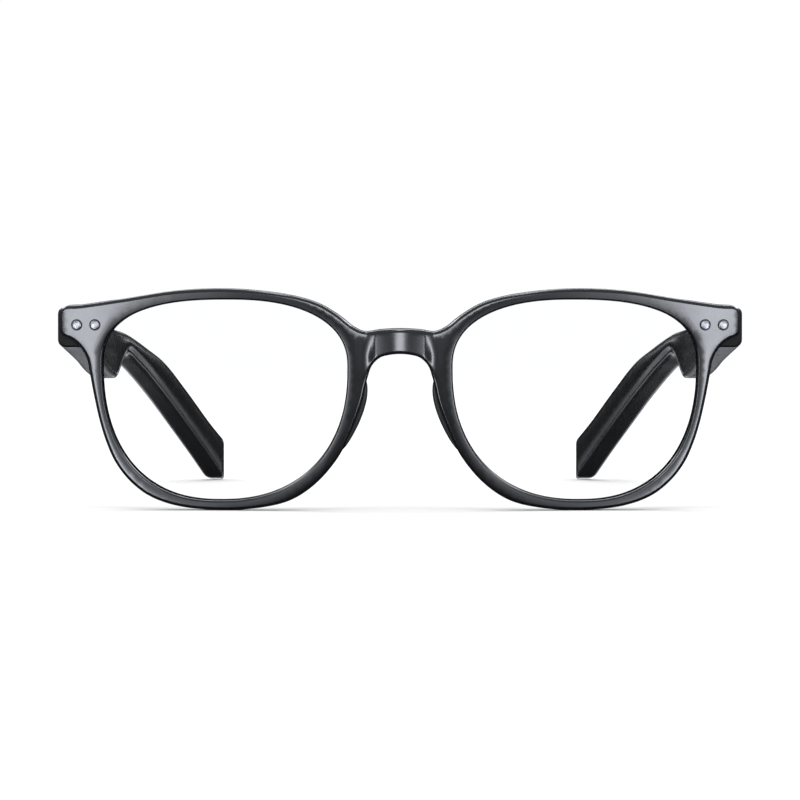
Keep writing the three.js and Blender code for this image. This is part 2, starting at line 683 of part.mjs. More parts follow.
// Adds a piece on the wearer's left, at +X, and its mirror image on the right.
function addPair(name, finish, geometry, suffix = "") {
  add(`${name}_left${suffix}`, finish, geometryOf(solidOf(geometry)));
  add(`${name}_right${suffix}`, finish, geometryOf(solidOf(mirrored(geometry))));
}

add("front_frame", blackPlastic, frontFrame());
addPair("lens", clearLens, leanFront(lensShape(lens.seatDepth - GAP, 0, 0)));
addPair("nose_pad", padSilicone, leanFront(nosePadShape()));
addPair("hinge_plate", darkSteel, hingePlate());
addPair("hinge_screw", darkSteel, hingeScrew());
addPair("rivet", polishedSteel, rivetShape(rivetPlaces()[0]), "_outer");
addPair("rivet", polishedSteel, rivetShape(rivetPlaces()[1]), "_inner");

addPair("temple_case", blackPlastic, templeCase());
addPair("temple_cover", blackCover, templeCover());
addPair("temple_hinge", darkSteel, templeHinge());
addPair("leaf_screw", darkSteel, leafScrewShape(leafScrewPlaces()[0]), "_front");
addPair("leaf_screw", darkSteel, leafScrewShape(leafScrewPlaces()[1]), "_rear");
addPair("touch_sensor", filmAmber, packed(touchSensor));
addPair("circuit_board", boardGreen, circuitBoard());
addPair("microphone", polishedSteel, packed(microphone));
addPair("speaker", darkSteel, packed(speaker));
addPair("speaker_grille", darkSteel, speakerGrille());
addPair("battery_ribbon", filmAmber, packed(ribbon));
addPair("battery", cellFoil, packed(battery));
addPair("charge_pin", goldPlate, chargePin(chargePinPlaces()[0]), "_front");
addPair("charge_pin", goldPlate, chargePin(chargePinPlaces()[1]), "_rear");
addPair("charge_magnet", polishedSteel, chargeMagnet());

// The origin is under the middle of the object, on the table.
const bounds = new THREE.Box3().setFromObject(glasses);
glasses.position.set(0, -(bounds.min.y + bounds.max.y) / 2, -bounds.min.z);
glasses.updateMatrixWorld(true);

export default glasses;
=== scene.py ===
"""Smart audio glasses: the finished surfaces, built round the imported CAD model.

The makers' sizes are millimetres in the glasses' own frame: X across the face, Y back from the
lenses to the ears, Z up. `Bench` carries them to the row frame, which is in metres.
Left and right are the wearer's, so the left temple is at +X.
"""

import sys
import logging
import math
from dataclasses import dataclass, field
from enum import Enum
from typing import Any, Callable, Sequence

import bmesh
import bpy
import numpy as np
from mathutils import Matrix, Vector
from mathutils.geometry import delaunay_2d_cdt


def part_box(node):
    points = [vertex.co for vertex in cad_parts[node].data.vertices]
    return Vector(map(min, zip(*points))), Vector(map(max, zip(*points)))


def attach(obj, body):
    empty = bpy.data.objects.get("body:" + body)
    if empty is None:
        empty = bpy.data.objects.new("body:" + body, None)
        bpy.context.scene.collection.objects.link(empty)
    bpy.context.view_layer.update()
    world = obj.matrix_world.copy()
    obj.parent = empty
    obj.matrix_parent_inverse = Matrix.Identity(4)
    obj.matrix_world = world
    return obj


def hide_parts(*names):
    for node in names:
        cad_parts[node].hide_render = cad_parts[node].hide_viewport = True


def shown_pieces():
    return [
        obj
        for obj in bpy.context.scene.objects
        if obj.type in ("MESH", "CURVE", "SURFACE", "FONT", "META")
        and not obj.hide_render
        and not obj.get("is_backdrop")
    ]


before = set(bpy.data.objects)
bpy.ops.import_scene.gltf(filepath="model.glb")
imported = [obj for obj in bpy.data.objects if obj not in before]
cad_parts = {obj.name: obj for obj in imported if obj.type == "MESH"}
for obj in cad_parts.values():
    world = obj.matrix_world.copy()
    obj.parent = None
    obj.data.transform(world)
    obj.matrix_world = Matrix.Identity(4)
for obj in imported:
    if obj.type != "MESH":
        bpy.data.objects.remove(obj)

MM = 0.001
LOG = logging.getLogger("smart_glasses")

Point = tuple[float, float]
Ring = np.ndarray
Line = Callable[[np.ndarray], np.ndarray]
Tree = bpy.types.NodeTree
Socket = bpy.types.NodeSocket


# ---------- small tools ----------


class Side(Enum):
    """The wearer's two sides, as the sign of X."""

    LEFT = 1
    RIGHT = -1

    @property
    def word(self) -> str:
        """The side as it stands in names."""
        return self.name.lower()


class Body(Enum):
    """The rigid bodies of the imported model."""

    FRONT = "front"
    TEMPLE_LEFT = "temple_left"
    TEMPLE_RIGHT = "temple_right"

    @staticmethod
    def temple(side: Side) -> "Body":
        """The body of the temple on a side."""
        return Body.TEMPLE_LEFT if side is Side.LEFT else Body.TEMPLE_RIGHT


def smooth(pairs: Sequence[Point]) -> Line:
    """A smooth function through points, as cubics whose slope at a point follows its neighbours.

    Args:
        pairs: (place, value) points in order of place.

    Returns:
        A function of an array of places.
    """
    place = np.array([p for p, _ in pairs], float)
    value = np.array([v for _, v in pairs], float)
    before = np.maximum(np.arange(len(place)) - 1, 0)
    after = np.minimum(np.arange(len(place)) + 1, len(place) - 1)
    slope = (value[after] - value[before]) / (place[after] - place[before])

    def at(where: np.ndarray) -> np.ndarray:
        """The value at each place."""
        where = np.asarray(where, float)
        i = np.clip(np.searchsorted(place, where) - 1, 0, len(place) - 2)
        step = place[i + 1] - place[i]
        t = (where - place[i]) / step
        keep = 2 * t**3 - 3 * t**2 + 1
        rise = (t**3 - 2 * t**2 + t) * slope[i] + (t**3 - t**2) * slope[i + 1]
        return keep * value[i] + (1 - keep) * value[i + 1] + step * rise

    return at


def closed_curve(points: Sequence[Point], spacing: float) -> Ring:
    """A centripetal Catmull-Rom curve through points, closed, at an even spacing.

    Args:
        points: the points that the curve goes through.
        spacing: the distance between the points of the result.

    Returns:
        An (n, 2) array of points.
    """
    p = np.array(points, float)
    p0, p1, p2, p3 = np.roll(p, 1, 0), p, np.roll(p, -1, 0), np.roll(p, -2, 0)
    knots = [np.linalg.norm(b - a, axis=1) ** 0.5 for a, b in ((p0, p1), (p1, p2), (p2, p3))]
    t1 = knots[0]
    t2 = t1 + knots[1]
    t3 = t2 + knots[2]
    dense = []
    for share in np.linspace(0, 1, 25)[:-1]:
        t = (t1 + share * knots[1])[:, None]
        a, b, c = t1[:, None], t2[:, None], t3[:, None]
        a1 = (a - t) / a * p0 + t / a * p1
        a2 = (b - t) / (b - a) * p1 + (t - a) / (b - a) * p2
        a3 = (c - t) / (c - b) * p2 + (t - b) / (c - b) * p3
        b1 = (b - t) / b * a1 + t / b * a2
        b2 = (c - t) / (c - a) * a2 + (t - a) / (c - a) * a3
        dense.append((b - t) / (b - a) * b1 + (t - a) / (b - a) * b2)
    return even(np.stack(dense, 1).reshape(-1, 2), spacing)


def even(loop: Ring, spacing: float) -> Ring:
    """A closed loop of points, at an even spacing close to the one asked for.

    Args:
        loop: an (n, 2) array of points.
        spacing: the distance asked for.

    Returns:
        The new points.
    """
    ends = np.vstack([loop, loop[:1]])
    along = np.concatenate([[0], np.cumsum(np.linalg.norm(np.diff(ends, axis=0), axis=1))])
    where = np.linspace(0, along[-1], max(8, round(along[-1] / spacing)) + 1)[:-1]
    return np.stack([np.interp(where, along, ends[:, k]) for k in range(2)], 1)


def inward(loop: Ring) -> Ring:
    """The unit normal at each point of a closed anticlockwise loop, towards its inside."""
    along = np.roll(loop, -1, 0) - np.roll(loop, 1, 0)
    along /= np.linalg.norm(along, axis=1)[:, None]
    return np.stack([-along[:, 1], along[:, 0]], 1)


def anticlockwise(loop: Ring) -> Ring:
    """The loop, turned round if it runs clockwise."""
    nxt = np.roll(loop, -1, 0)
    area = (loop[:, 0] * nxt[:, 1] - nxt[:, 0] * loop[:, 1]).sum()
    return loop if area > 0 else loop[::-1]


def inside(points: np.ndarray, loop: Ring) -> np.ndarray:
    """True for each point that lies inside a closed loop.

    Args:
        points: an (n, 2) array.
        loop: the points of the loop.

    Returns:
        An array of n truths.
    """
    a, b = loop, np.roll(loop, -1, 0)
    px, pz = points[:, :1], points[:, 1:]
    spans = (a[:, 1] > pz) != (b[:, 1] > pz)
    rise = np.where(b[:, 1] == a[:, 1], 1e-12, b[:, 1] - a[:, 1])
    cross = a[:, 0] + (pz - a[:, 1]) * (b[:, 0] - a[:, 0]) / rise
    return ((spans & (px < cross)).sum(1) % 2) == 1


def distance(points: np.ndarray, loop: Ring) -> np.ndarray:
    """How far each point is from a closed loop.

    Args:
        points: an (n, 2) array.
        loop: the points of the loop.

    Returns:
        An array of n distances.
    """
    a, b = loop, np.roll(loop, -1, 0)
    out = np.full(len(points), 1e9)
    ab = b - a
    length = (ab**2).sum(1)
    for first in range(0, len(points), 2000):
        p = points[first : first + 2000, None, :]
        t = np.clip(((p - a) * ab).sum(2) / length, 0, 1)
        gap = np.linalg.norm(p - (a + t[..., None] * ab), axis=2)
        out[first : first + 2000] = gap.min(1)
    return out


def softly(a: np.ndarray, b: np.ndarray, reach: float, highest: bool = True) -> np.ndarray:
    """The higher or lower of two surfaces, blended where they are within reach of each other."""
    sign = 1 if highest else -1
    return 0.5 * (a + b + sign * np.sqrt((a - b) ** 2 + reach**2))


# ---------- from millimetres to the row frame ----------


@dataclass
class Mesh:
    """A mesh while it is being made.

    Attributes:
        points: its corners in millimetres, in the glasses' own frame.
        faces: its faces, as indices of corners.
        worn: for each corner, how exposed it is to handling, from 0 to 1.
    """

    points: list[np.ndarray] = field(default_factory=list)
    faces: list[tuple[int, ...]] = field(default_factory=list)
    worn: list[np.ndarray] = field(default_factory=list)
    count: int = 0

    def add(self, points: np.ndarray, worn: float | np.ndarray = 0.0) -> int:
        """Adds corners.

        Args:
            points: an (n, 3) array.
            worn: how exposed they are.

        Returns:
            The index of the first of them.
        """
        first = self.count
        self.points.append(np.asarray(points, float))
        self.worn.append(np.broadcast_to(np.asarray(worn, float), (len(points),)))
        self.count += len(points)
        return first

    def band(self, a: int, b: int, count: int, flip: bool = False) -> None:
        """Joins two closed rings of corners with a band of faces.

        Args:
            a: the first ring's first corner.
            b: the second ring's.
            count: how many corners each has.
            flip: whether the faces are turned round.
        """
        for k in range(count):
            n = (k + 1) % count
            face = (a + k, a + n, b + n, b + k)
            self.faces.append(face[::-1] if flip else face)

    def fan(self, ring: int, count: int, flip: bool = False) -> None:
        """Closes a ring with a fan round its middle.

        Args:
            ring: the ring's first corner.
            count: how many corners it has.
            flip: whether the faces are turned round.
        """
        points = np.vstack(self.points)[ring : ring + count]
        middle = self.add(points.mean(0)[None])
        for k in range(count):
            face = (ring + k, ring + (k + 1) % count, middle)
            self.faces.append(face[::-1] if flip else face)

    def loft(self, rings: Sequence[np.ndarray], worn: Sequence[Any] | None = None) -> None:
        """Adds a closed skin through rings, with a fan over each end.

        Args:
            rings: arrays of points, each as long as the next.
            worn: how exposed each ring is; not at all, where it is left out.
        """
        count = len(rings[0])
        marks = worn if worn is not None else [0.0] * len(rings)
        firsts = [self.add(ring, mark) for ring, mark in zip(rings, marks)]
        for a, b in zip(firsts, firsts[1:]):
            self.band(a, b, count)
        self.fan(firsts[0], count, flip=True)
        self.fan(firsts[-1], count)


@dataclass(frozen=True)
class Bench:
    """Where the glasses' own frame stands in the row frame.

    Attributes:
        shift: the glasses' own origin, in metres.
    """

    shift: tuple[float, float, float]

    @staticmethod
    def from_hinge(back: float, bottom: float) -> "Bench":
        """Finds the frame from the left hinge screw.

        Args:
            back: how far behind the front its axis is, in millimetres.
            bottom: the height of its lower end.

        Returns:
            The bench.
        """
        low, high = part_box("hinge_screw_left")
        return Bench((0.0, (low.y + high.y) / 2 - back * MM, low.z - bottom * MM))

    def place(self, points: np.ndarray, side: Side = Side.LEFT) -> np.ndarray:
        """Points in millimetres, on a side, as metres in the row frame."""
        return (points * [side.value, 1, 1]) * MM + self.shift

    def make(self, name: str, mesh: Mesh, side: Side = Side.LEFT, crease: float = 32) -> bpy.types.Object:
        """Makes a Blender object of a mesh.

        Args:
            name: of the object.
            mesh: its corners and faces, for the left side.
            side: the side it goes on; the right one is a mirror image.
            crease: edges that turn by more degrees than this stay sharp.

        Returns:
            The object, linked to the scene.
        """
        faces = mesh.faces if side is Side.LEFT else [f[::-1] for f in mesh.faces]
        data = bpy.data.meshes.new(name)
        data.from_pydata(self.place(np.vstack(mesh.points), side).tolist(), [], faces)
        worn = data.attributes.new("worn", "FLOAT", "POINT")
        worn.data.foreach_set("value", np.concatenate(mesh.worn).astype(np.float32))
        piece = bpy.data.objects.new(name, data)
        bpy.context.scene.collection.objects.link(piece)
        face_out(data)
        sharpen(data, crease)
        return piece


def face_out(data: bpy.types.Mesh) -> None:
    """Turns every face of a closed mesh outwards."""
    work = bmesh.new()
    work.from_mesh(data)
    bmesh.ops.recalc_face_normals(work, faces=work.faces)
    work.to_mesh(data)
    work.free()


def sharpen(data: bpy.types.Mesh, crease: float) -> None:
    """Shades a mesh smooth, with its edges past an angle in degrees left sharp."""
    data.polygons.foreach_set("use_smooth", [True] * len(data.polygons))
    data.set_sharp_from_angle(angle=math.radians(crease))
    data.update()


def block(low: Sequence[float], high: Sequence[float]) -> Mesh:
    """A box between two corners, as a tool to cut with."""
    (x0, y0, z0), (x1, y1, z1) = low, high
    corners = [(x0, z0), (x1, z0), (x1, z1), (x0, z1)]
    mesh = Mesh()
    mesh.loft([np.array([(x, y, z) for x, z in corners]) for y in (y0, y1)])
    return mesh


def turned(profile: Sequence[Point], axis: int, at: Sequence[float], segments: int = 40) -> Mesh:
    """A turned piece.

    Args:
        profile: (place along the axis, radius) points, from one end to the other.
        axis: 0, 1 or 2 for X, Y or Z.
        at: a point on the axis; its own coordinate along the axis isn't used.
        segments: round the axis.

    Returns:
        The closed mesh.
    """
    angle = np.arange(segments) * 2 * math.pi / segments
    u, v = [k for k in range(3) if k != axis]
    rings = []
    for along, radius in profile:
        ring = np.zeros((segments, 3))
        ring[:, axis] = along
        ring[:, u] = at[u] + radius * np.cos(angle)
        ring[:, v] = at[v] + radius * np.sin(angle)
        rings.append(ring)
    mesh = Mesh()
    mesh.loft(rings)
    return mesh


def carve(
    piece: bpy.types.Object, bench: Bench, tools: Sequence[tuple[Mesh, Side]], crease: float = 32
) -> None:
    """Cuts tools from a piece.

    Args:
        piece: the object to cut.
        bench: where the glasses' own frame stands.
        tools: meshes, each with its side.
        crease: edges that turn by more degrees than this stay sharp.
    """
    whole = Mesh()
    for tool, side in tools:
        first = whole.count
        points = np.vstack(tool.points) * [side.value, 1, 1]
        whole.add(points)
        flip = -1 if side is Side.RIGHT else 1
        whole.faces += [tuple(first + i for i in f)[::flip] for f in tool.faces]
    cutter = bench.make("cutter", whole)
    cut = piece.modifiers.new("cut", "BOOLEAN")
    cut.operation, cut.solver, cut.object = "DIFFERENCE", "MANIFOLD", cutter
    graph = bpy.context.evaluated_depsgraph_get()
    made = bpy.data.meshes.new_from_object(piece.evaluated_get(graph))
    piece.modifiers.clear()
    piece.data = made
    bpy.data.objects.remove(cutter)
    sharpen(made, crease)


# ---------- finishes ----------


def linear(colour: str) -> tuple[float, float, float, float]:
    """An sRGB hex colour as linear RGBA."""
    parts = [int(colour[k : k + 2], 16) / 255 for k in (1, 3, 5)]
    return (*[c / 12.92 if c <= 0.04045 else ((c + 0.055) / 1.055) ** 2.4 for c in parts], 1.0)


def add_node(
    tree: Tree,
    kind: str,
    values: dict[Any, Any] | None = None,
    links: dict[Any, Socket] | None = None,
    **settings: Any,
) -> bpy.types.Node:
    """Adds a node to a tree.

    Args:
        tree: the tree.
        kind: the node's type name.
        values: input socket to plain value.
        links: input socket to the output socket that feeds it.
        **settings: the node's own properties.

    Returns:
        The node.
    """
    node = tree.nodes.new(kind)
    for name, value in settings.items():
        setattr(node, name, value)
    for socket, value in (values or {}).items():
        node.inputs[socket].default_value = value
    for socket, source in (links or {}).items():
        tree.links.new(source, node.inputs[socket])
    return node


@dataclass(frozen=True)
class Finish:
    """What a material is, and how its surface was made.

    Attributes:
        name: the material's name.
        base: its colour, sRGB hex.
        varied: the colour it varies to.
        roughness: its mean roughness.
        spread: how far the roughness varies either way.
        grain: the width in millimetres of the surface's relief.
        height: the height of that relief, in millimetres.
        patch: the width in millimetres of the patches of colour and gloss.
        metallic: 0 or 1.
        ior: its index of refraction, for what isn't a metal.
    """

    name: str
    base: str
    varied: str
    roughness: float
    spread: float = 0.05
    grain: float = 0.4
    height: float = 0.004
    patch: float = 9.0
    metallic: float = 0.0
    ior: float = 1.5

    def material(self) -> bpy.types.Material:
        """The material, made on first use."""
        found = bpy.data.materials.get(self.name)
        return found or self.fresh()

    def fresh(self) -> bpy.types.Material:
        """Makes the material's nodes."""
        material = bpy.data.materials.new(self.name)
        material.use_nodes = True
        tree = material.node_tree
        tree.nodes.clear()
        place = add_node(tree, "ShaderNodeTexCoord").outputs["Object"]
        shader = add_node(tree, "ShaderNodeBsdfPrincipled", {
            "Metallic": self.metallic,
            **({} if self.metallic else {"IOR": self.ior}),
        })
        self.colour(tree, place, shader)
        self.gloss(tree, place, shader)
        self.relief(tree, place, shader)
        add_node(tree, "ShaderNodeOutputMaterial", links={"Surface": self.surface(tree, shader)})
        return material

    def surface(self, tree: Tree, shader: bpy.types.Node) -> Socket:
        """What goes to the material's output."""
        return shader.outputs["BSDF"]

    def noise(self, tree: Tree, place: Socket, width: float, detail: float = 3) -> Socket:
        """Noise whose features are a width in millimetres, from 0 to 1."""
        settings = {"Scale": 1 / (width * MM), "Detail": detail}
        node = add_node(tree, "ShaderNodeTexNoise", settings, {"Vector": place})
        return node.outputs["Fac"]

    def colour(self, tree: Tree, place: Socket, shader: bpy.types.Node) -> None:
        """Feeds the colour: two tones in patches, and the second one where it is handled most."""
        patches = self.noise(tree, place, self.patch)
        worn = add_node(tree, "ShaderNodeAttribute", attribute_name="worn").outputs["Fac"]
        share = add_node(tree, "ShaderNodeMath", links={0: patches, 1: worn}, operation="ADD", use_clamp=True)
        tones = {6: linear(self.base), 7: linear(self.varied)}
        mix = add_node(tree, "ShaderNodeMix", tones, {0: share.outputs[0]}, data_type="RGBA")
        tree.links.new(mix.outputs[2], shader.inputs["Base Color"])

    def gloss(self, tree: Tree, place: Socket, shader: bpy.types.Node) -> None:
        """Feeds the roughness: smudges, a little finer than the patches of colour."""
        smudge = self.noise(tree, place, self.patch * 0.6, 6)
        low, high = self.roughness - self.spread, self.roughness + self.spread
        spread = add_node(
            tree, "ShaderNodeMapRange",
            {"From Min": 0.3, "From Max": 0.7, "To Min": low, "To Max": high}, {"Value": smudge},
        )
        tree.links.new(spread.outputs["Result"], shader.inputs["Roughness"])

    def relief(self, tree: Tree, place: Socket, shader: bpy.types.Node) -> None:
        """Feeds the surface's relief."""
        self.press(tree, self.noise(tree, place, self.grain, 2), shader)

    def press(self, tree: Tree, grain: Socket, shader: bpy.types.Node) -> None:
        """Makes a height from 0 to 1 into the relief of the shader's surface."""
        settings = {"Strength": 1.0, "Distance": self.height * MM}
        bump = add_node(tree, "ShaderNodeBump", settings, {"Height": grain})
        tree.links.new(bump.outputs["Normal"], shader.inputs["Normal"])


@dataclass(frozen=True)
class Clear(Finish):
    """A hard-coated clear lens. It has no power, so what is behind it shows unbent.

    Attributes:
        coated: the index of refraction that leaves what the anti-glare coat reflects.
    """

    coated: float = 1.12

    def surface(self, tree: Tree, shader: bpy.types.Node) -> Socket:
        """A clear pane with a thin sheen that grows towards its edge."""
        sheen = add_node(tree, "ShaderNodeFresnel", {"IOR": self.coated}).outputs["Fac"]
        pane = add_node(tree, "ShaderNodeBsdfTransparent", {"Color": linear(self.varied)})
        layers = {0: sheen, 1: pane.outputs["BSDF"], 2: shader.outputs["BSDF"]}
        return add_node(tree, "ShaderNodeMixShader", links=layers).outputs["Shader"]


@dataclass(frozen=True)
class Brushed(Finish):
    """Metal with the fine parallel lines that a belt or a lathe leaves.

    Attributes:
        lines: the scale of the lines along X, Y and Z; they run along the axis with the smallest.
    """

    lines: tuple[float, float, float] = (1.0, 1.0, 0.05)

    def relief(self, tree: Tree, place: Socket, shader: bpy.types.Node) -> None:
        """Feeds the relief: noise drawn out along the lines."""
        drawn = add_node(tree, "ShaderNodeMapping", {"Scale": self.lines}, {"Vector": place})
        self.press(tree, self.noise(tree, drawn.outputs["Vector"], self.grain, 4), shader)


@dataclass(frozen=True)
class Laminate(Finish):
    """Sheet with etched copper tracks that show through its coat.

    Attributes:
        track: from one track to the next, in millimetres.
    """

    track: float = 0.5

    def colour(self, tree: Tree, place: Socket, shader: bpy.types.Node) -> None:
        """Feeds the colour: the second tone along the tracks, and the first one between them."""
        cells = add_node(
            tree, "ShaderNodeTexBrick",
            {"Scale": 1 / (4 * self.track * MM), "Color1": linear(self.base), "Color2": linear(self.base),
             "Mortar": linear(self.varied), "Mortar Size": 0.12},
            {"Vector": place},
        )
        tree.links.new(cells.outputs["Color"], shader.inputs["Base Color"])


# Nylon TR-90, moulded in a polished tool and tumbled: black, with a soft gloss that turns every
# fillet into a bright line and every flat into a dim picture of the room.
FRONT_NYLON = Finish("tr90_nylon_black_front", "#0c0d10", "#121317", 0.18, 0.02, 0.5, 0.0006, 11, ior=1.47)
TEMPLE_NYLON = Finish("tr90_nylon_black_temple", "#0f1012", "#151619", 0.25, 0.02, 0.5, 0.0007, 13, ior=1.47)
# ABS, moulded in a spark-eroded tool: a shade greyer and duller than the case it closes.
COVER_ABS = Finish("abs_black_cover", "#0f1013", "#141519", 0.27, 0.02, 0.35, 0.001, 8, ior=1.54)
# Silicone rubber, moulded: dull, so that the pads read as dark crescents without a highlight.
PAD_SILICONE = Finish("silicone_black_pad", "#0e0f10", "#151617", 0.55, 0.05, 0.3, 0.004, 5, ior=1.41)
# Polycarbonate with a hard coat, cast and dipped: all but invisible, with a soft sheen at its edge.
# The sheen is a plain mirror laid over the clear pane, which is why its own layer counts as metallic.
LENS_POLYCARBONATE = Clear(
    "polycarbonate_clear_lens", "#dfe3e4", "#fefefe", 0.03, 0.01, 6.0, 0.0002, 20, 1.0, coated=1.08
)
# Nickel silver, turned and tumbled: silver-white domes, slightly uneven in gloss.
RIVET_NICKEL_SILVER = Finish("nickel_silver_rivet", "#8b8c90", "#6b6c70", 0.38, 0.07, 0.35, 0.02, 0.6, 1.0)
# Stainless steel, stamped and brushed, then blackened: dark, with fine lines.
HINGE_STEEL = Brushed("stainless_steel_brushed_dark", "#6c6e72", "#585a5e", 0.34, 0.06, 0.12, 0.004, 2.5, 1.0)
# Carbon steel, turned on a lathe: brighter than the leaf, with rings that read as a sheen.
SCREW_STEEL = Brushed("carbon_steel_turned_screw", "#8f9196", "#76787c", 0.28, 0.06, 0.1, 0.004, 1.0, 1.0)
# Steel sheet, pierced and blackened: dull and dark, so that the speaker and its grille hardly show.
SPEAKER_STEEL = Brushed(
    "steel_sheet_black_oxide", "#3c3d40", "#2d2e30", 0.42, 0.06, 0.2, 0.005, 2.0, 1.0, lines=(1.0, 0.1, 1.0)
)
# Gold over nickel, plated: the charging contacts, scratched a little by the dock's pins.
CONTACT_GOLD = Brushed("gold_plate_contact", "#e3bd6c", "#cfa453", 0.24, 0.06, 0.15, 0.004, 0.9, 1.0)
# Glass-epoxy laminate, etched and coated with solder mask: green, with paler lines over the copper.
BOARD_LAMINATE = Laminate(
    "fr4_laminate_green_mask", "#17472f", "#2f6b47", 0.42, 0.06, 0.3, 0.01, 4.0, ior=1.55
)
# Aluminium laminate film, pressed round the cell: it creases, so its sheen breaks up.
CELL_FOIL = Finish("aluminium_pouch_foil", "#b9bcc0", "#a2a5a9", 0.34, 0.08, 1.6, 0.06, 3.0, 1.0)
# Polyimide film with an etched copper layer: amber and glossy.
SENSOR_FILM = Laminate(
    "polyimide_film_amber", "#b06f22", "#8a4f14", 0.33, 0.05, 0.6, 0.01, 3.0, ior=1.7, track=0.35
)
# Nickel-plated neodymium, tumbled: a warm silver with a soft gloss.
MAGNET_NICKEL = Finish("nickel_plate_magnet", "#b7b5ae", "#a09e97", 0.22, 0.05, 0.3, 0.004, 1.2, 1.0)


def dress(piece: bpy.types.Object, finish: Finish) -> None:
    """Gives a piece one finish all over."""
    if not piece.data.materials:
        piece.data.materials.append(None)
    for slot in piece.material_slots:
        slot.material = finish.material()


# ---------- the front ----------


@dataclass
class Lens:
    """A clear meniscus lens.

    Attributes:
        radius: of its front surface.
        thickness: between its two surfaces.
        seat: how far its edge reaches into the rim.
        set_back: of its middle, behind the face of the rim.
    """

    radius: float = 180.0
    thickness: float = 1.8
    seat: float = 0.7
    set_back: float = 0.1


Row = tuple[float, str, float]


def rolled(radius: float, kind: str, turn: np.ndarray) -> list[Row]:
    """The rows of a fillet that rounds off a face of a kind."""
    return [(radius * (1 - math.sin(a)), kind, radius * (1 - math.cos(a))) for a in turn]


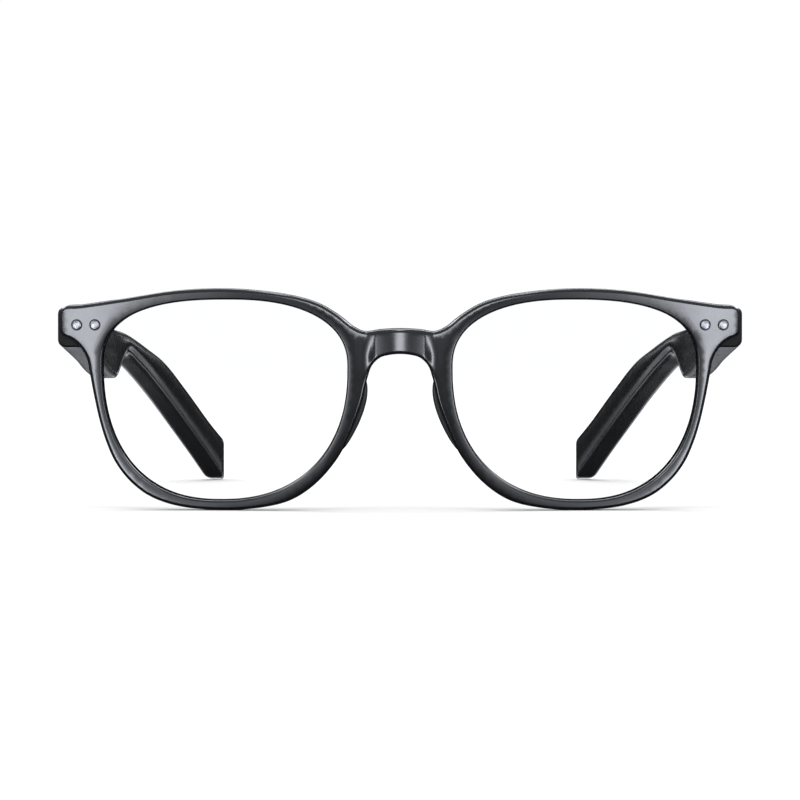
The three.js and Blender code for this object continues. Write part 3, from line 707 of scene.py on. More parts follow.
@dataclass
class Front:
    """The one-piece front: two rims, the bridge and the endpieces.

    Attributes:
        lean: how far the lower rims sit back, in radians.
        lean_height: the height that they lean about.
        half_width: from the middle to an endpiece's edge.
        thickness: of the rims.
        curve_radius: of the face, seen from above.
        rim_depth: how far the rims' face lies behind the bridge's middle.
        nasal: the inner edge of an opening, across.
        temporal: its outer edge.
        opening_top: its upper edge, in height.
        opening_bottom: its lower edge.
        widest: the height where it is widest.
        crest: where its top is, across.
        trough: where its bottom is, across.
        end_back: how far back an endpiece's rear face is.
        end_low: the height above which it is that deep.
        end_foot: the height where it starts to thicken.
        end_full: where it is that deep, across.
        end_growth: how far inside of that it starts to thicken.
        bridge_half: half the width of the bridge's round middle.
        bridge_radius: of that middle.
        bridge_slope: how steeply the face falls back beside it.
        bridge_hold: how far the face keeps that slope.
        bridge_end: where it has come level with the rims.
        bridge_lift: how far the bridge's face tips back above, in radians.
        outer_fillet: round the front's outer edge.
        inner_fillet: round the openings.
        back_fillet: round the rear of the outer edge.
        spacing: between the corners along an edge.
        gap: between a lens and its groove.
        lens: the lens that a rim holds.
    """

    lean: float = math.radians(4.6)
    lean_height: float = 23.5
    half_width: float = 72.2
    thickness: float = 4.0
    curve_radius: float = 550.0
    rim_depth: float = 1.6
    nasal: float = 11.1
    temporal: float = 63.2
    opening_top: float = 44.7
    opening_bottom: float = 2.0
    widest: float = 30.6
    crest: float = 35.9
    trough: float = 38.6
    end_back: float = 9.92
    end_low: float = 36.4
    end_foot: float = 30.0
    end_full: float = 62.0
    end_growth: float = 4.0
    bridge_half: float = 5.1
    bridge_radius: float = 20.0
    bridge_slope: float = 0.5
    bridge_hold: float = 1.2
    bridge_end: float = 7.8
    bridge_lift: float = math.radians(8)
    outer_fillet: float = 0.75
    inner_fillet: float = 0.4
    back_fillet: float = 0.6
    spacing: float = 0.45
    gap: float = 0.25
    lens: Lens = field(default_factory=Lens)

    def outline(self) -> Ring:
        """The front's edge, anticlockwise."""
        n, m, s = self.nasal, (self.nasal + self.temporal) / 2, self.half_width
        half = [
            (0, 38.6), (4.2, 38.4), (7.4, 38), (n - 1.5, 38.9), (n + 1.6, 41.3), (n + 5.8, 43.8),
            (n + 10.9, 45.4), (m - 8.1, 46.5), (m + 0.4, 47), (m + 10.3, 46.5), (s - 13.3, 44.7),
            (s - 4.5, 43.4), (s - 0.9, 43.05), (s - 0.1, 42.3), (s + 0.1, 39.7), (s - 0.1, 37.5),
            (s - 0.9, 36.7), (s - 2.2, 36.2), (s - 3.7, 35.1), (s - 4.8, 33.8), (s - 5.8, 31.8),
            (s - 6.3, 29), (s - 7.2, 24), (s - 8.4, 18.5), (s - 9.8, 14), (s - 11.6, 10),
            (s - 14.5, 6.2), (s - 18.6, 3), (m + 10.7, 0.9), (m + 1.9, 0), (m - 7.1, 0.5),
            (n + 12.1, 2.2), (n + 6.7, 5.8), (n + 1.9, 11.5), (n - 0.9, 17.2), (n - 3.1, 23.2),
            (n - 4.3, 28.4), (n - 5.2, 30.9), (4.2, 32.6), (2.2, 33.2), (0, 33.4),
        ]
        other = [(-x, z) for x, z in half[1:-1]][::-1]
        return anticlockwise(closed_curve(half + other, self.spacing))

    def opening(self, side: Side = Side.LEFT, grown: float = 0.0) -> Ring:
        """The opening of a rim.

        Args:
            side: the side it is on.
            grown: a margin that makes it larger all round.

        Returns:
            Its points, anticlockwise.
        """
        quarters = [
            (self.crest, self.temporal + grown, self.opening_top + grown, 2.55, False),
            (self.crest, self.nasal - grown, self.opening_top + grown, 2.35, True),
            (self.trough, self.nasal - grown, self.opening_bottom - grown, 2.3, False),
            (self.trough, self.temporal + grown, self.opening_bottom - grown, 2.35, True),
        ]
        t = np.linspace(0, 1, 241)[:-1]
        parts = []
        for centre, edge, level, power, from_level in quarters:
            angle = ((1 - t) if from_level else t) * math.pi / 2
            across = (edge - centre) * np.cos(angle) ** (2 / power)
            up = (level - self.widest) * np.sin(angle) ** (2 / power)
            parts.append(np.stack([centre + across, self.widest + up], 1))
        loop = even(np.vstack(parts), self.spacing) * [side.value, 1]
        return anticlockwise(loop)

    def plain_face(self, x: np.ndarray) -> np.ndarray:
        """How far back the face is across the front, without the bridge's shape in height.

        Args:
            x: places across.

        Returns:
            The depth at each.
        """
        a = np.abs(x)
        bump = np.minimum(a, self.bridge_half) ** 2 / (2 * self.bridge_radius)
        run = np.clip(a - self.bridge_half, 0, self.bridge_end - self.bridge_half)
        past = np.clip(run - self.bridge_hold, 0, None)
        bend = self.bridge_end - self.bridge_half - self.bridge_hold
        hollow = self.bridge_slope * (run - past**2 / (2 * bend))
        return bump + hollow + x**2 / (2 * self.curve_radius)

    def face(self, plan: np.ndarray) -> np.ndarray:
        """How far back the face is at places in the plan.

        Args:
            plan: (across, height) places.

        Returns:
            The depth at each.
        """
        x, z = plan[:, 0], plan[:, 1]
        a = np.abs(x)
        share = np.clip((self.bridge_end - a) / (self.bridge_end - self.bridge_half), 0, 1)
        lift = math.tan(self.bridge_lift) * np.clip(z - 33.2, 0, 6) * share**2 * (3 - 2 * share)
        return self.plain_face(x) + lift

    def back(self, plan: np.ndarray) -> np.ndarray:
        """How far back the rear surface is at places in the plan, the endpieces included.

        Args:
            plan: (across, height) places.

        Returns:
            The depth at each.
        """
        x, z = np.abs(plan[:, 0]), plan[:, 1]
        bridge = self.rim_depth * np.exp(-((x / 6.2) ** 2))
        rim = self.rim_depth + x**2 / (2 * self.curve_radius) - bridge + self.thickness
        across = np.interp(x, [self.end_full - self.end_growth, self.end_full], [5.0, self.end_back])
        up = np.interp(z, [self.end_foot, self.end_low], [6.5, self.end_back])
        wedge = softly(across, up, 0.5, highest=False)
        wedge = np.where((z > self.end_low - 1) & (x > self.end_full + 1), self.end_back, wedge)
        local = (wedge + (z - self.lean_height) * math.sin(self.lean)) / math.cos(self.lean)
        reach = np.where(local > rim + 1.2, 0.02, 0.5)
        return np.where(local > rim - 1.5, softly(rim, local, reach), rim)

    def leant(self, plan: np.ndarray, depth: np.ndarray) -> np.ndarray:
        """Places in the plan and their depth, as points of the leaning front.

        Args:
            plan: (across, height) places.
            depth: how far back each is.

        Returns:
            An (n, 3) array of points.
        """
        x, z = plan[:, 0], plan[:, 1] - self.lean_height
        c, s = math.cos(self.lean), math.sin(self.lean)
        return np.stack([x, depth * c - z * s, self.lean_height + depth * s + z * c], 1)

    def lens_depth(self, plan: np.ndarray, radius: float) -> np.ndarray:
        """How far back a sphere about the lens's centre is at places in the plan.

        Args:
            plan: (across, height) places.
            radius: of the sphere.

        Returns:
            The depth at each.
        """
        x, z = np.abs(plan[:, 0]), plan[:, 1]
        mx, mz = (self.nasal + self.temporal) / 2, (self.opening_top + self.opening_bottom) / 2
        slope = math.atan(mx / self.curve_radius)
        cx = mx - math.sin(slope) * self.lens.radius
        middle = self.rim_depth + mx**2 / (2 * self.curve_radius)
        cy = middle + self.lens.set_back + math.cos(slope) * self.lens.radius
        return cy - np.sqrt(radius**2 - (x - cx) ** 2 - (z - mz) ** 2)

    def softened(self, plan: np.ndarray, outline: Ring, openings: Sequence[Ring]) -> np.ndarray:
        """How far the tumbling has rounded the face back near its edges.

        Args:
            plan: (across, height) places.
            outline: the front's edge.
            openings: the edges of the two openings.

        Returns:
            The depth lost at each place.
        """
        near_out = np.clip(1 - distance(plan, outline) / 1.6, 0, 1)
        near_in = np.clip(1 - np.minimum(*[distance(plan, o) for o in openings]) / 1.5, 0, 1)
        return 0.04 * near_out**2 + 0.16 * near_in**2

    def edge_rows(self) -> list[Row]:
        """The rows of the outer edge: how far inside the outline, from which surface, how deep."""
        turn = np.linspace(0, math.pi / 2, 9)
        sides = [(0.0, "between", t) for t in (0.15, 0.4, 0.65, 0.88)]
        return rolled(self.outer_fillet, "front", turn) + sides + rolled(self.back_fillet, "back", turn[::-1])

    def opening_rows(self) -> list[Row]:
        """The rows of an opening's wall, with the groove that holds the lens."""
        r, seat = self.inner_fillet, self.lens.seat
        turn = np.linspace(0, math.pi / 2, 6)
        above, below = -self.gap, self.lens.thickness + self.gap
        lips = [
            (0.0, "lens", above - 0.12), (0.03, "lens", above - 0.03), (0.12, "lens", above),
            (seat, "lens", above), (seat, "lens", below), (0.12, "lens", below), (0.0, "lens", below + 0.12),
        ]
        return rolled(r, "front", turn) + lips + rolled(r, "back", turn[::-1])

    def row_depth(self, kind: str, value: float, plan: np.ndarray, soft: np.ndarray) -> np.ndarray:
        """How deep a row of an edge is.

        Args:
            kind: "front", "back", "lens" or "between", for what its depth counts from.
            value: how deep it is from there, or the share of the way between face and back.
            plan: its places in the plan.
            soft: how far the face is rounded back there.

        Returns:
            The depth at each place.
        """
        front, back = self.face(plan) + soft, self.back(plan)
        if kind == "front":
            return front + value
        if kind == "back":
            return back - value
        if kind == "lens":
            return self.lens_depth(plan, self.lens.radius - value)
        low = front + self.outer_fillet
        return low + value * (back - self.back_fillet - low)

    def cap(self, mesh: Mesh, loops: Sequence[tuple[int, Ring]], depth: Line, flip: bool) -> None:
        """Fills the surface between an outer loop and two openings.

        Args:
            mesh: the mesh to add to.
            loops: each loop's first corner in the mesh and its places in the plan, outer loop first.
            depth: how far back the surface is at places in the plan.
            flip: whether its faces are turned round.
        """
        rings = [loop for _, loop in loops]
        step = 1.1
        xs = np.arange(-self.half_width, self.half_width, step)
        zs = np.arange(0, 48, step * 0.87)
        grid = np.array([(x + (k % 2) * step / 2, z) for k, z in enumerate(zs) for x in xs])
        grid = grid[np.abs(grid[:, 0]) > self.bridge_end + 0.6]
        grid = np.vstack([grid, self.bridge_grid()])
        keep = inside(grid, rings[0]) & ~inside(grid, rings[1]) & ~inside(grid, rings[2])
        grid = grid[keep]
        clear = np.min([distance(grid, r) for r in rings], 0)
        grid = grid[clear > np.where(np.abs(grid[:, 0]) < self.bridge_end, 0.2, 0.55)]
        first = mesh.add(self.leant(grid, depth(grid)))
        rims = [[s + k for k in range(len(r))] for s, r in loops]
        index = np.concatenate(rims + [np.arange(len(grid)) + first])
        plan = np.vstack([*rings, grid])
        edges, start = [], 0
        on_crease = np.abs(np.abs(grid[:, 0]) - self.bridge_half) < 1e-6
        crease = np.flatnonzero(on_crease) + sum(len(r) for r in rings)
        for a, b in zip(crease, crease[1:]):
            if plan[a][0] == plan[b][0]:
                edges.append((int(a), int(b)))
        for ring in rings:
            edges += [(start + k, start + (k + 1) % len(ring)) for k in range(len(ring))]
            start += len(ring)
        made = delaunay_2d_cdt([Vector(p) for p in plan], edges, [], 0, 1e-6)
        triangles, origin = made[2], made[3]
        back_to = [o[0] for o in origin]
        corners = np.array([[back_to[i] for i in t] for t in triangles])
        centre = plan[corners].mean(1)
        keep = inside(centre, rings[0]) & ~inside(centre, rings[1]) & ~inside(centre, rings[2])
        for t in index[corners[keep]]:
            face = tuple(int(i) for i in t)
            mesh.faces.append(face[::-1] if flip else face)

    def bridge_grid(self) -> np.ndarray:
        """Places in the plan over the bridge: columns close enough to keep its creases crisp."""
        half, end = self.bridge_half, self.bridge_end
        middle, outer = np.linspace(0.2, half - 0.12, 14), np.linspace(half + 0.4, end + 0.5, 9)
        near = np.concatenate([middle, [half, half + 0.12], outer])
        columns = np.concatenate([-near[::-1], near])
        heights = np.arange(22.0, 46.0, 0.38)
        return np.array([(x, z) for x in columns for z in heights])

    def frame_mesh(self) -> Mesh:
        """The front's mesh: fillets and walls as rows round each loop, and a cap on each face."""
        mesh = Mesh()
        outline = self.outline()
        openings = [self.opening(side) for side in Side]
        ends: list[list[tuple[int, Ring]]] = [[], []]
        for k, loop in enumerate([outline, *openings]):
            rows = self.edge_rows() if k == 0 else self.opening_rows()
            into = inward(loop) * (1 if k == 0 else -1)
            firsts = []
            for inset, kind, value in rows:
                plan = loop + into * inset
                soft = self.softened(plan, outline, openings)
                points = self.leant(plan, self.row_depth(kind, value, plan, soft))
                firsts.append((mesh.add(points, 0.35 if kind == "front" else 0.1), plan))
            for (a, _), (b, _) in zip(firsts, firsts[1:]):
                mesh.band(a, b, len(loop), flip=k > 0)
            ends[0].append(firsts[0])
            ends[1].append(firsts[-1])
        self.cap(mesh, ends[0], lambda p: self.face(p) + self.softened(p, outline, openings), False)
        self.cap(mesh, ends[1], self.back, True)
        return mesh

    def lens_mesh(self) -> Mesh:
        """A lens's mesh: rings out from its middle on both surfaces, with a ground edge."""
        edge = self.opening(grown=self.lens.seat - self.gap)
        middle = np.array([(self.nasal + self.temporal) / 2, (self.opening_top + self.opening_bottom) / 2])
        front, back = self.lens.radius, self.lens.radius - self.lens.thickness
        shares = np.concatenate([np.linspace(0.04, 0.97, 22), [0.99, 0.9965]])
        edge_rows = [(1, front - 0.25), (1, back + 0.25)]
        rows = [(s, front) for s in shares] + edge_rows + [(s, back) for s in shares[::-1]]
        rings = []
        for share, radius in rows:
            plan = middle + (edge - middle) * share
            rings.append(self.leant(plan, self.lens_depth(plan, radius)))
        mesh = Mesh()
        mesh.loft(rings)
        return mesh


# ---------- the nose pads and the rivets ----------


@dataclass
class NosePad:
    """A moulded pad behind the nasal side of a rim.

    Attributes:
        front: the front that it stands on.
        low: the height of its lower end.
        high: the height of its upper end.
        depth: how far back it reaches.
        width: across its root.
        proud: how far its middle stands out towards the nose.
        lean: how far its rear turns away from the nose, as a share of its depth.
        gap: between its root and the rim.
    """

    front: Front
    low: float = 11.5
    high: float = 28.0
    depth: float = 6.2
    width: float = 3.1
    proud: float = 0.9
    lean: float = 0.4
    gap: float = 0.25

    def mesh(self) -> Mesh:
        """The pad's mesh: rounded sections that swell towards its middle."""
        n = self.front.nasal
        edge = smooth([
            (2.2, n + 12.1), (5.8, n + 6.7), (11.5, n + 1.9), (17.2, n - 0.9),
            (23.2, n - 3.1), (28.4, n - 4.3), (30.9, n - 5.2),
        ])
        rings = []
        for t in np.linspace(0, math.pi, 41):
            share = 0.5 - 0.5 * math.cos(t)
            z = self.low + (self.high - self.low) * share
            swell = max(math.sin(t), 0.06) ** 0.9
            side = float(edge(z))
            nasal = side + 1 - (1 + self.proud) * swell
            root = float(self.front.back(np.array([[side + 1, z]]))[0]) + self.gap
            depth, lean = self.depth * swell, self.lean * self.depth * swell
            width = self.width * (0.4 + 0.6 * swell)
            corners = [
                (nasal, root + 0.05), (nasal - 0.1, root + 0.3 * depth),
                (nasal + 0.35 * lean, root + 0.75 * depth),
                (nasal + lean, root + 0.97 * depth), (nasal + lean + 0.6, root + depth),
                (nasal + width * 0.9, root + 0.6 * depth), (nasal + width, root + 0.05),
                (nasal + width * 0.5, root),
            ]
            ring = closed_curve(corners, 0.3)
            ring = ring[np.linspace(0, len(ring), 33)[:-1].astype(int)]
            rings.append(self.front.leant(np.stack([ring[:, 0], np.full(32, z)], 1), ring[:, 1]))
        mesh = Mesh()
        mesh.loft(rings, [0.2] * len(rings))
        return mesh


@dataclass
class Rivet:
    """A domed rivet in an endpiece.

    Attributes:
        across: how far from the middle it is.
        height: of its axis.
        face: how far back the endpiece's face is there.
        end: how far back its tail ends.
        head: the head's radius.
        rise: how far the crown stands above the head's edge.
        sink: how far that edge lies below the face.
        shank: the shank's radius.
        tail: the closed tail's radius.
        tail_height: the closed tail's length.
    """

    across: float
    height: float
    face: float
    end: float
    head: float = 0.98
    rise: float = 0.55
    sink: float = 0.3
    shank: float = 0.55
    tail: float = 0.8
    tail_height: float = 0.35

    def mesh(self) -> Mesh:
        """The rivet's mesh: a shallow dome with a rolled edge, its shank and its closed tail."""
        under = self.face + self.sink
        crown = under - self.rise
        turn = np.linspace(0, math.pi / 2, 9)[1:]
        flat = 0.76
        roll = self.head - flat
        dome = [(crown + 0.1 * (r / 0.8) ** 2, r) for r in np.linspace(0.03, flat, 9)]
        edge = [(crown + 0.1 + 0.2 * (1 - math.cos(a)), flat + roll * math.sin(a)) for a in turn]
        tail_at = self.end - self.tail_height
        stem = [(under, self.head), (under, self.shank), (tail_at, self.shank)]
        stem += [(tail_at, self.tail - 0.08), (tail_at + 0.08, self.tail)]
        end = [(self.end - 0.08, self.tail), (self.end, self.tail - 0.1), (self.end, 0.05)]
        return turned(dome + edge + stem + end, 1, (self.across, 0, self.height))


# ---------- the temples ----------


@dataclass
class Temple:
    """A folding temple: the case that holds the electronics, and the cover that closes it.

    Attributes:
        half_width: from the middle to the temple's line, before it turns in.
        start: the case's front end.
        box_end: where the thick box ends and the neck begins.
        tip: the case's rear end.
        corner: the radius of the case's outer corners.
        cover_start: the cover's front end.
        cover_end: its rear end.
        cover_edge: from the case's upper and lower faces to the cover.
        cover_thickness: of the cover.
        ledge: how far the case holds the cover above and below.
        end_ledge: how far it holds it at the ends.
        wall: of the case, outside its cavity.
        gap: between the cover and the case.
        pin_across: where the fold's axis is, across.
        pin_back: how far back it is.
        crown: how far the inner face falls back at its upper and lower edges.
        crown_run: the length over which the crown grows.
        inner_corner: the radius of the case's inner corners.
        rest: the height of the case's lowest point.
        trim: how far the outer face is drawn in.
        step: between the sections.
        corner_steps: the number of points round a corner.
    """

    half_width: float = 72.2
    start: float = 10.42
    box_end: float = 80.0
    tip: float = 156.9
    corner: float = 1.7
    cover_start: float = 24.92
    cover_end: float = 153.0
    cover_edge: float = 1.1
    cover_thickness: float = 1.2
    ledge: float = 0.55
    end_ledge: float = 1.2
    wall: float = 1.0
    gap: float = 0.25
    pin_across: float = 66.2
    pin_back: float = 11.77
    crown: float = 0.55
    crown_run: float = 18.0
    inner_corner: float = 1.0
    rest: float = 0.03
    trim: float = 0.06
    step: float = 1.2
    corner_steps: int = 8

    def __post_init__(self) -> None:
        """Draws the four lines that the temple follows."""
        def along(box: Sequence[Point], neck: Sequence[Point], ear: Sequence[Point]) -> Line:
            """A line through the box, the neck behind it and the ear section."""
            behind = [(self.box_end + b, v) for b, v in neck]
            return smooth([*box, *behind, *[(self.tip - f, v) for f, v in ear]])

        inset = along(
            [(10, 2.3), (45, 1.1)], [(-2, 0), (10, 2.1), (24, 6.1)],
            [(38.9, 9.8), (25.9, 13.5), (11.9, 18), (-1.1, 22.3)],
        )
        self.centre = lambda y: self.half_width - inset(y)
        self.top = along(
            [(10, 43.85), (45, 41.95)], [(0, 40.2), (11, 39.1), (24, 35.7)],
            [(40.9, 32.1), (25.9, 24.8), (11.9, 16.7), (-1.1, 9.8)],
        )
        self.bottom = along(
            [(10, 35), (45, 31.9)], [(-1, 28.5), (2, 28.5), (8.5, 33.7), (11, 34.1), (17, 31.8), (24, 28.8)],
            [(38.9, 22.3), (25.9, 15.3), (11.9, 6.9), (-1.1, -1.45)],
        )
        self.thickness = along([(10, 7)], [(0, 7), (12, 6.7), (24, 6.4)], [(-1.1, 6.4)])

    def inside(self, y: float) -> float:
        """Where the inner face is."""
        return float(self.centre(y) - self.thickness(y) / 2)

    def crowned(self, y: float) -> float:
        """How far the inner face falls back at its upper and lower edges."""
        return self.crown * min(max((y - self.cover_start) / self.crown_run, 0.0), 1.0)

    def outside(self, y: float) -> float:
        """Where the outer face is."""
        return float(self.centre(y) + self.thickness(y) / 2) - self.trim

    def places(self, start: float, end: float) -> list[float]:
        """Places along the temple between two ends, at an even step."""
        return list(np.linspace(start, end, max(2, round((end - start) / self.step)) + 1))

    def case_ring(self, y: float, inset: float, depth: float, floor: float) -> tuple[np.ndarray, np.ndarray]:
        """One section of the case, from the upper lip round the outside to the lower lip and back.

        Args:
            y: the place along the temple.
            inset: how far the outside is drawn in, at the rounded ends.
            depth: how deep the cover's recess is there, 0 where there is none.
            floor: how deep the cavity behind it is.

        Returns:
            The ring's points, and how worn each is.
        """
        low, high = max(float(self.bottom(y)) + inset, self.rest), float(self.top(y)) - inset
        inner, outer = self.inside(y) + inset + self.crowned(y), self.outside(y) - inset
        r = max(min(self.corner, 0.45 * (high - low)) - 0.3 * inset, 0.4)
        q = min(r, self.inner_corner)
        turn = np.linspace(0, math.pi / 2, self.corner_steps)
        points, worn = [], []

        def put(x: float, z: float, mark: float = 0.0) -> None:
            """Adds a point."""
            points.append((x, y, z))
            worn.append(mark)

        top_lip, low_lip = high + inset - self.cover_edge, low - inset + self.cover_edge
        soften = 0.22 if depth else 0.0
        put(inner + depth, top_lip)
        put(inner + soften, top_lip)
        put(inner, top_lip + soften, 0.3)
        for a in turn:
            put(inner + q - q * math.cos(a), high - q + q * math.sin(a), 0.35)
        for t in (0.25, 0.5, 0.75):
            put(inner + q + t * (outer - inner - q - r), high)
        for a in turn[::-1]:
            put(outer - r + r * math.cos(a), high - r + r * math.sin(a), 0.35)
        for t in (0.15, 0.3, 0.5, 0.7, 0.85):
            put(outer, high - r - t * (high - low - 2 * r))
        for a in turn:
            put(outer - r + r * math.cos(a), low + r - r * math.sin(a), 0.35)
        for t in (0.75, 0.5, 0.25):
            put(inner + q + t * (outer - inner - q - r), low)
        for a in turn[::-1]:
            put(inner + q - q * math.cos(a), low + q - q * math.sin(a), 0.35)
        put(inner, low_lip - soften, 0.3)
        put(inner + soften, low_lip)
        put(inner + depth, low_lip)
        ledge = self.ledge if floor > depth else 0.0
        put(inner + depth, low_lip + ledge)
        put(inner + max(depth, floor), low_lip + ledge)
        put(inner + max(depth, floor), top_lip - ledge)
        put(inner + depth, top_lip - ledge)
        return np.array(points), np.array(worn)

    def case_mesh(self) -> Mesh:
        """The case's mesh: a rounded box whose recess opens and closes along it."""
        deep = self.cover_thickness + self.gap
        r_front, r_tip, tip_inset = 0.45, 2.9, 1.7
        nudge = 0.02
        stations: list[tuple[float, float, bool, bool]] = []
        for a in np.linspace(0, math.pi / 2, 6):
            y = self.start + r_front * (1 - math.cos(a))
            stations.append((y, r_front * (1 - math.sin(a)), False, False))
        opens, closes = self.cover_start - self.gap, self.cover_end + self.gap
        stations += [(y, 0, False, False) for y in self.places(self.start + 1, opens - nudge)]
        stations += [(opens, 0, True, False)]
        hollow_from, hollow_to = self.cover_start + self.end_ledge, self.cover_end - self.end_ledge
        stations += [(y, 0, True, False) for y in self.places(opens + 0.3, hollow_from - nudge)]
        stations += [(y, 0, True, True) for y in self.places(hollow_from, hollow_to)]
        stations += [(y, 0, True, False) for y in (hollow_to + nudge, closes - nudge)]
        stations += [(closes, 0, False, False)]
        for a in np.linspace(0, math.pi / 2, 8):
            y = self.tip - r_tip * (1 - math.sin(a))
            stations.append((y, tip_inset * (1 - math.cos(a)) ** 0.75, False, False))
        rings, marks = [], []
        for y, inset, recess, cavity in stations:
            hollow = self.outside(y) - self.inside(y) - self.wall
            ring, worn = self.case_ring(y, inset, deep if recess else 0.0, hollow if cavity else 0.0)
            rings.append(ring)
            marks.append(worn)
        mesh = Mesh()
        mesh.loft(rings, marks)
        return mesh

    def cover_mesh(self) -> Mesh:
        """The cover's mesh: a thin plate with eased edges, and the raised pad of the contacts."""
        r = 0.34
        turn = np.linspace(0, math.pi / 2, 5)
        ends = [(r * (1 - math.cos(a)), r * (1 - math.sin(a))) for a in turn]
        stations = [(self.cover_start + d, inset) for d, inset in ends]
        stations += [(y, 0.0) for y in self.places(self.cover_start + 1, self.cover_end - 1)]
        stations += [(self.cover_end - d, inset) for d, inset in ends[::-1]]
        rings, marks = [], []
        for y, inset in stations:
            low = float(self.bottom(y)) + self.cover_edge + inset
            high = float(self.top(y)) - self.cover_edge - inset
            inner, outer = self.inside(y) + inset, self.inside(y) + self.cover_thickness + self.crowned(y)
            edge, span = inner + self.crowned(y), high - low - 2 * r
            points = [(outer, low)]
            points += [(edge + r - r * math.sin(a), low + r - r * math.cos(a)) for a in turn]
            for t in np.linspace(0.08, 0.92, 11):
                points.append((inner + self.crowned(y) * (2 * t - 1) ** 2, low + r + t * span))
            points += [(edge + r - r * math.cos(a), high - r + r * math.sin(a)) for a in turn]
            points += [(outer, high)]
            rings.append(np.array([(x, y, z) for x, z in points]))
            marks.append(np.array([0.0] + [0.3] * 5 + [0.0] * 11 + [0.3] * 5 + [0.0]))
        mesh = Mesh()
        mesh.loft(rings, marks)
        self.add_pad(mesh)
        return mesh

    def add_pad(self, mesh: Mesh) -> None:
        """Adds the raised pad that the charging contacts come through."""
        middle, length, height, rise, round_ = self.cover_start + 13, 12.0, 3.6, 0.5, 0.9
        level = float(self.top(middle) + self.bottom(middle)) / 2
        face = self.inside(middle)
        rings = []
        steps = [
            (0.5, 0.0), (0.02, 0.0), (-rise + 0.18, 0.0),
            (-rise + 0.05, 0.05), (-rise, 0.2), (-rise, 0.7),
        ]
        for depth, inset in steps:
            a, b, r = length / 2 - inset, height / 2 - inset, max(round_ - inset, 0.2)
            ring = []
            for q, (sy, sz) in enumerate([(1, 1), (-1, 1), (-1, -1), (1, -1)]):
                for t in np.linspace(0, math.pi / 2, 7):
                    angle = t + q * math.pi / 2
                    y = middle + sy * (a - r) + r * math.cos(angle)
                    ring.append((face + depth, y, level + sz * (b - r) + r * math.sin(angle)))
            rings.append(np.array(ring))
        mesh.loft(rings, [0.0, 0.0, 0.1, 0.4, 0.3, 0.0])

    def hinge_cuts(self) -> list[Mesh]:
        """What is cut from the case for the hinge leaf, its barrel, the grille and the microphone."""
        face = self.inside(self.start) - 0.05
        low, high = 36.75, 43.6
        leaf_thickness, leaf_length, barrel_radius = 1.15, 11.0, 1.75
        leaf_back = self.pin_back + leaf_length
        leaf = block((face - 3, self.start - 1, low), (face + leaf_thickness, leaf_back, high))
        barrel_line = [(low, barrel_radius), (high, barrel_radius)]
        barrel = turned(barrel_line, 2, (self.pin_across, self.pin_back, 0), 48)
        g0, g1 = self.box_end - 13 - self.gap, self.box_end - 5 + self.gap
        centre = float(self.centre((g0 + g1) / 2))
        under = float(self.bottom(g1)) - 1
        grille_half, port_radius = 1.45, 0.5
        grille = block((centre - grille_half, g0, under), (centre + grille_half, g1, under + 4))
        port_at = self.cover_start + 2.5
        port_line = [(20, port_radius), (float(self.bottom(port_at)) + 3, port_radius)]
        port = turned(port_line, 2, (float(self.centre(port_at)), port_at, 0), 24)
        return [leaf, barrel, grille, port]


# ---------- the studio ----------


@dataclass
class Softbox:
    """An area light that the glasses see and the camera doesn't.

    Attributes:
        name: what it is for.
        place: where it stands, in metres.
        aim: the point that it faces.
        size: its width and height, in metres.
        radiance: how bright its face is, where 1 is white paper in full light.
        group: the pieces that it lights.
    """

    name: str
    place: tuple[float, float, float]
    aim: tuple[float, float, float]
    size: tuple[float, float]
    radiance: float
    group: str = "glasses"

    def build(self, lit: bpy.types.Collection) -> None:
        """Makes the light, which falls only on the pieces of a collection."""
        data = bpy.data.lights.new(self.name, "AREA")
        data.shape = "RECTANGLE"
        data.size, data.size_y = self.size
        data.energy = self.radiance * self.size[0] * self.size[1] * math.pi
        data.color = linear("#f2f6ff")[:3]
        lamp = bpy.data.objects.new(self.name, data)
        bpy.context.scene.collection.objects.link(lamp)
        lamp.location = self.place
        toward = Vector(self.aim) - Vector(self.place)
        lamp.rotation_euler = toward.to_track_quat("-Z", "Y").to_euler()
        lamp.visible_camera = False
        lamp.visible_diffuse = False
        lamp.light_linking.receiver_collection = lit


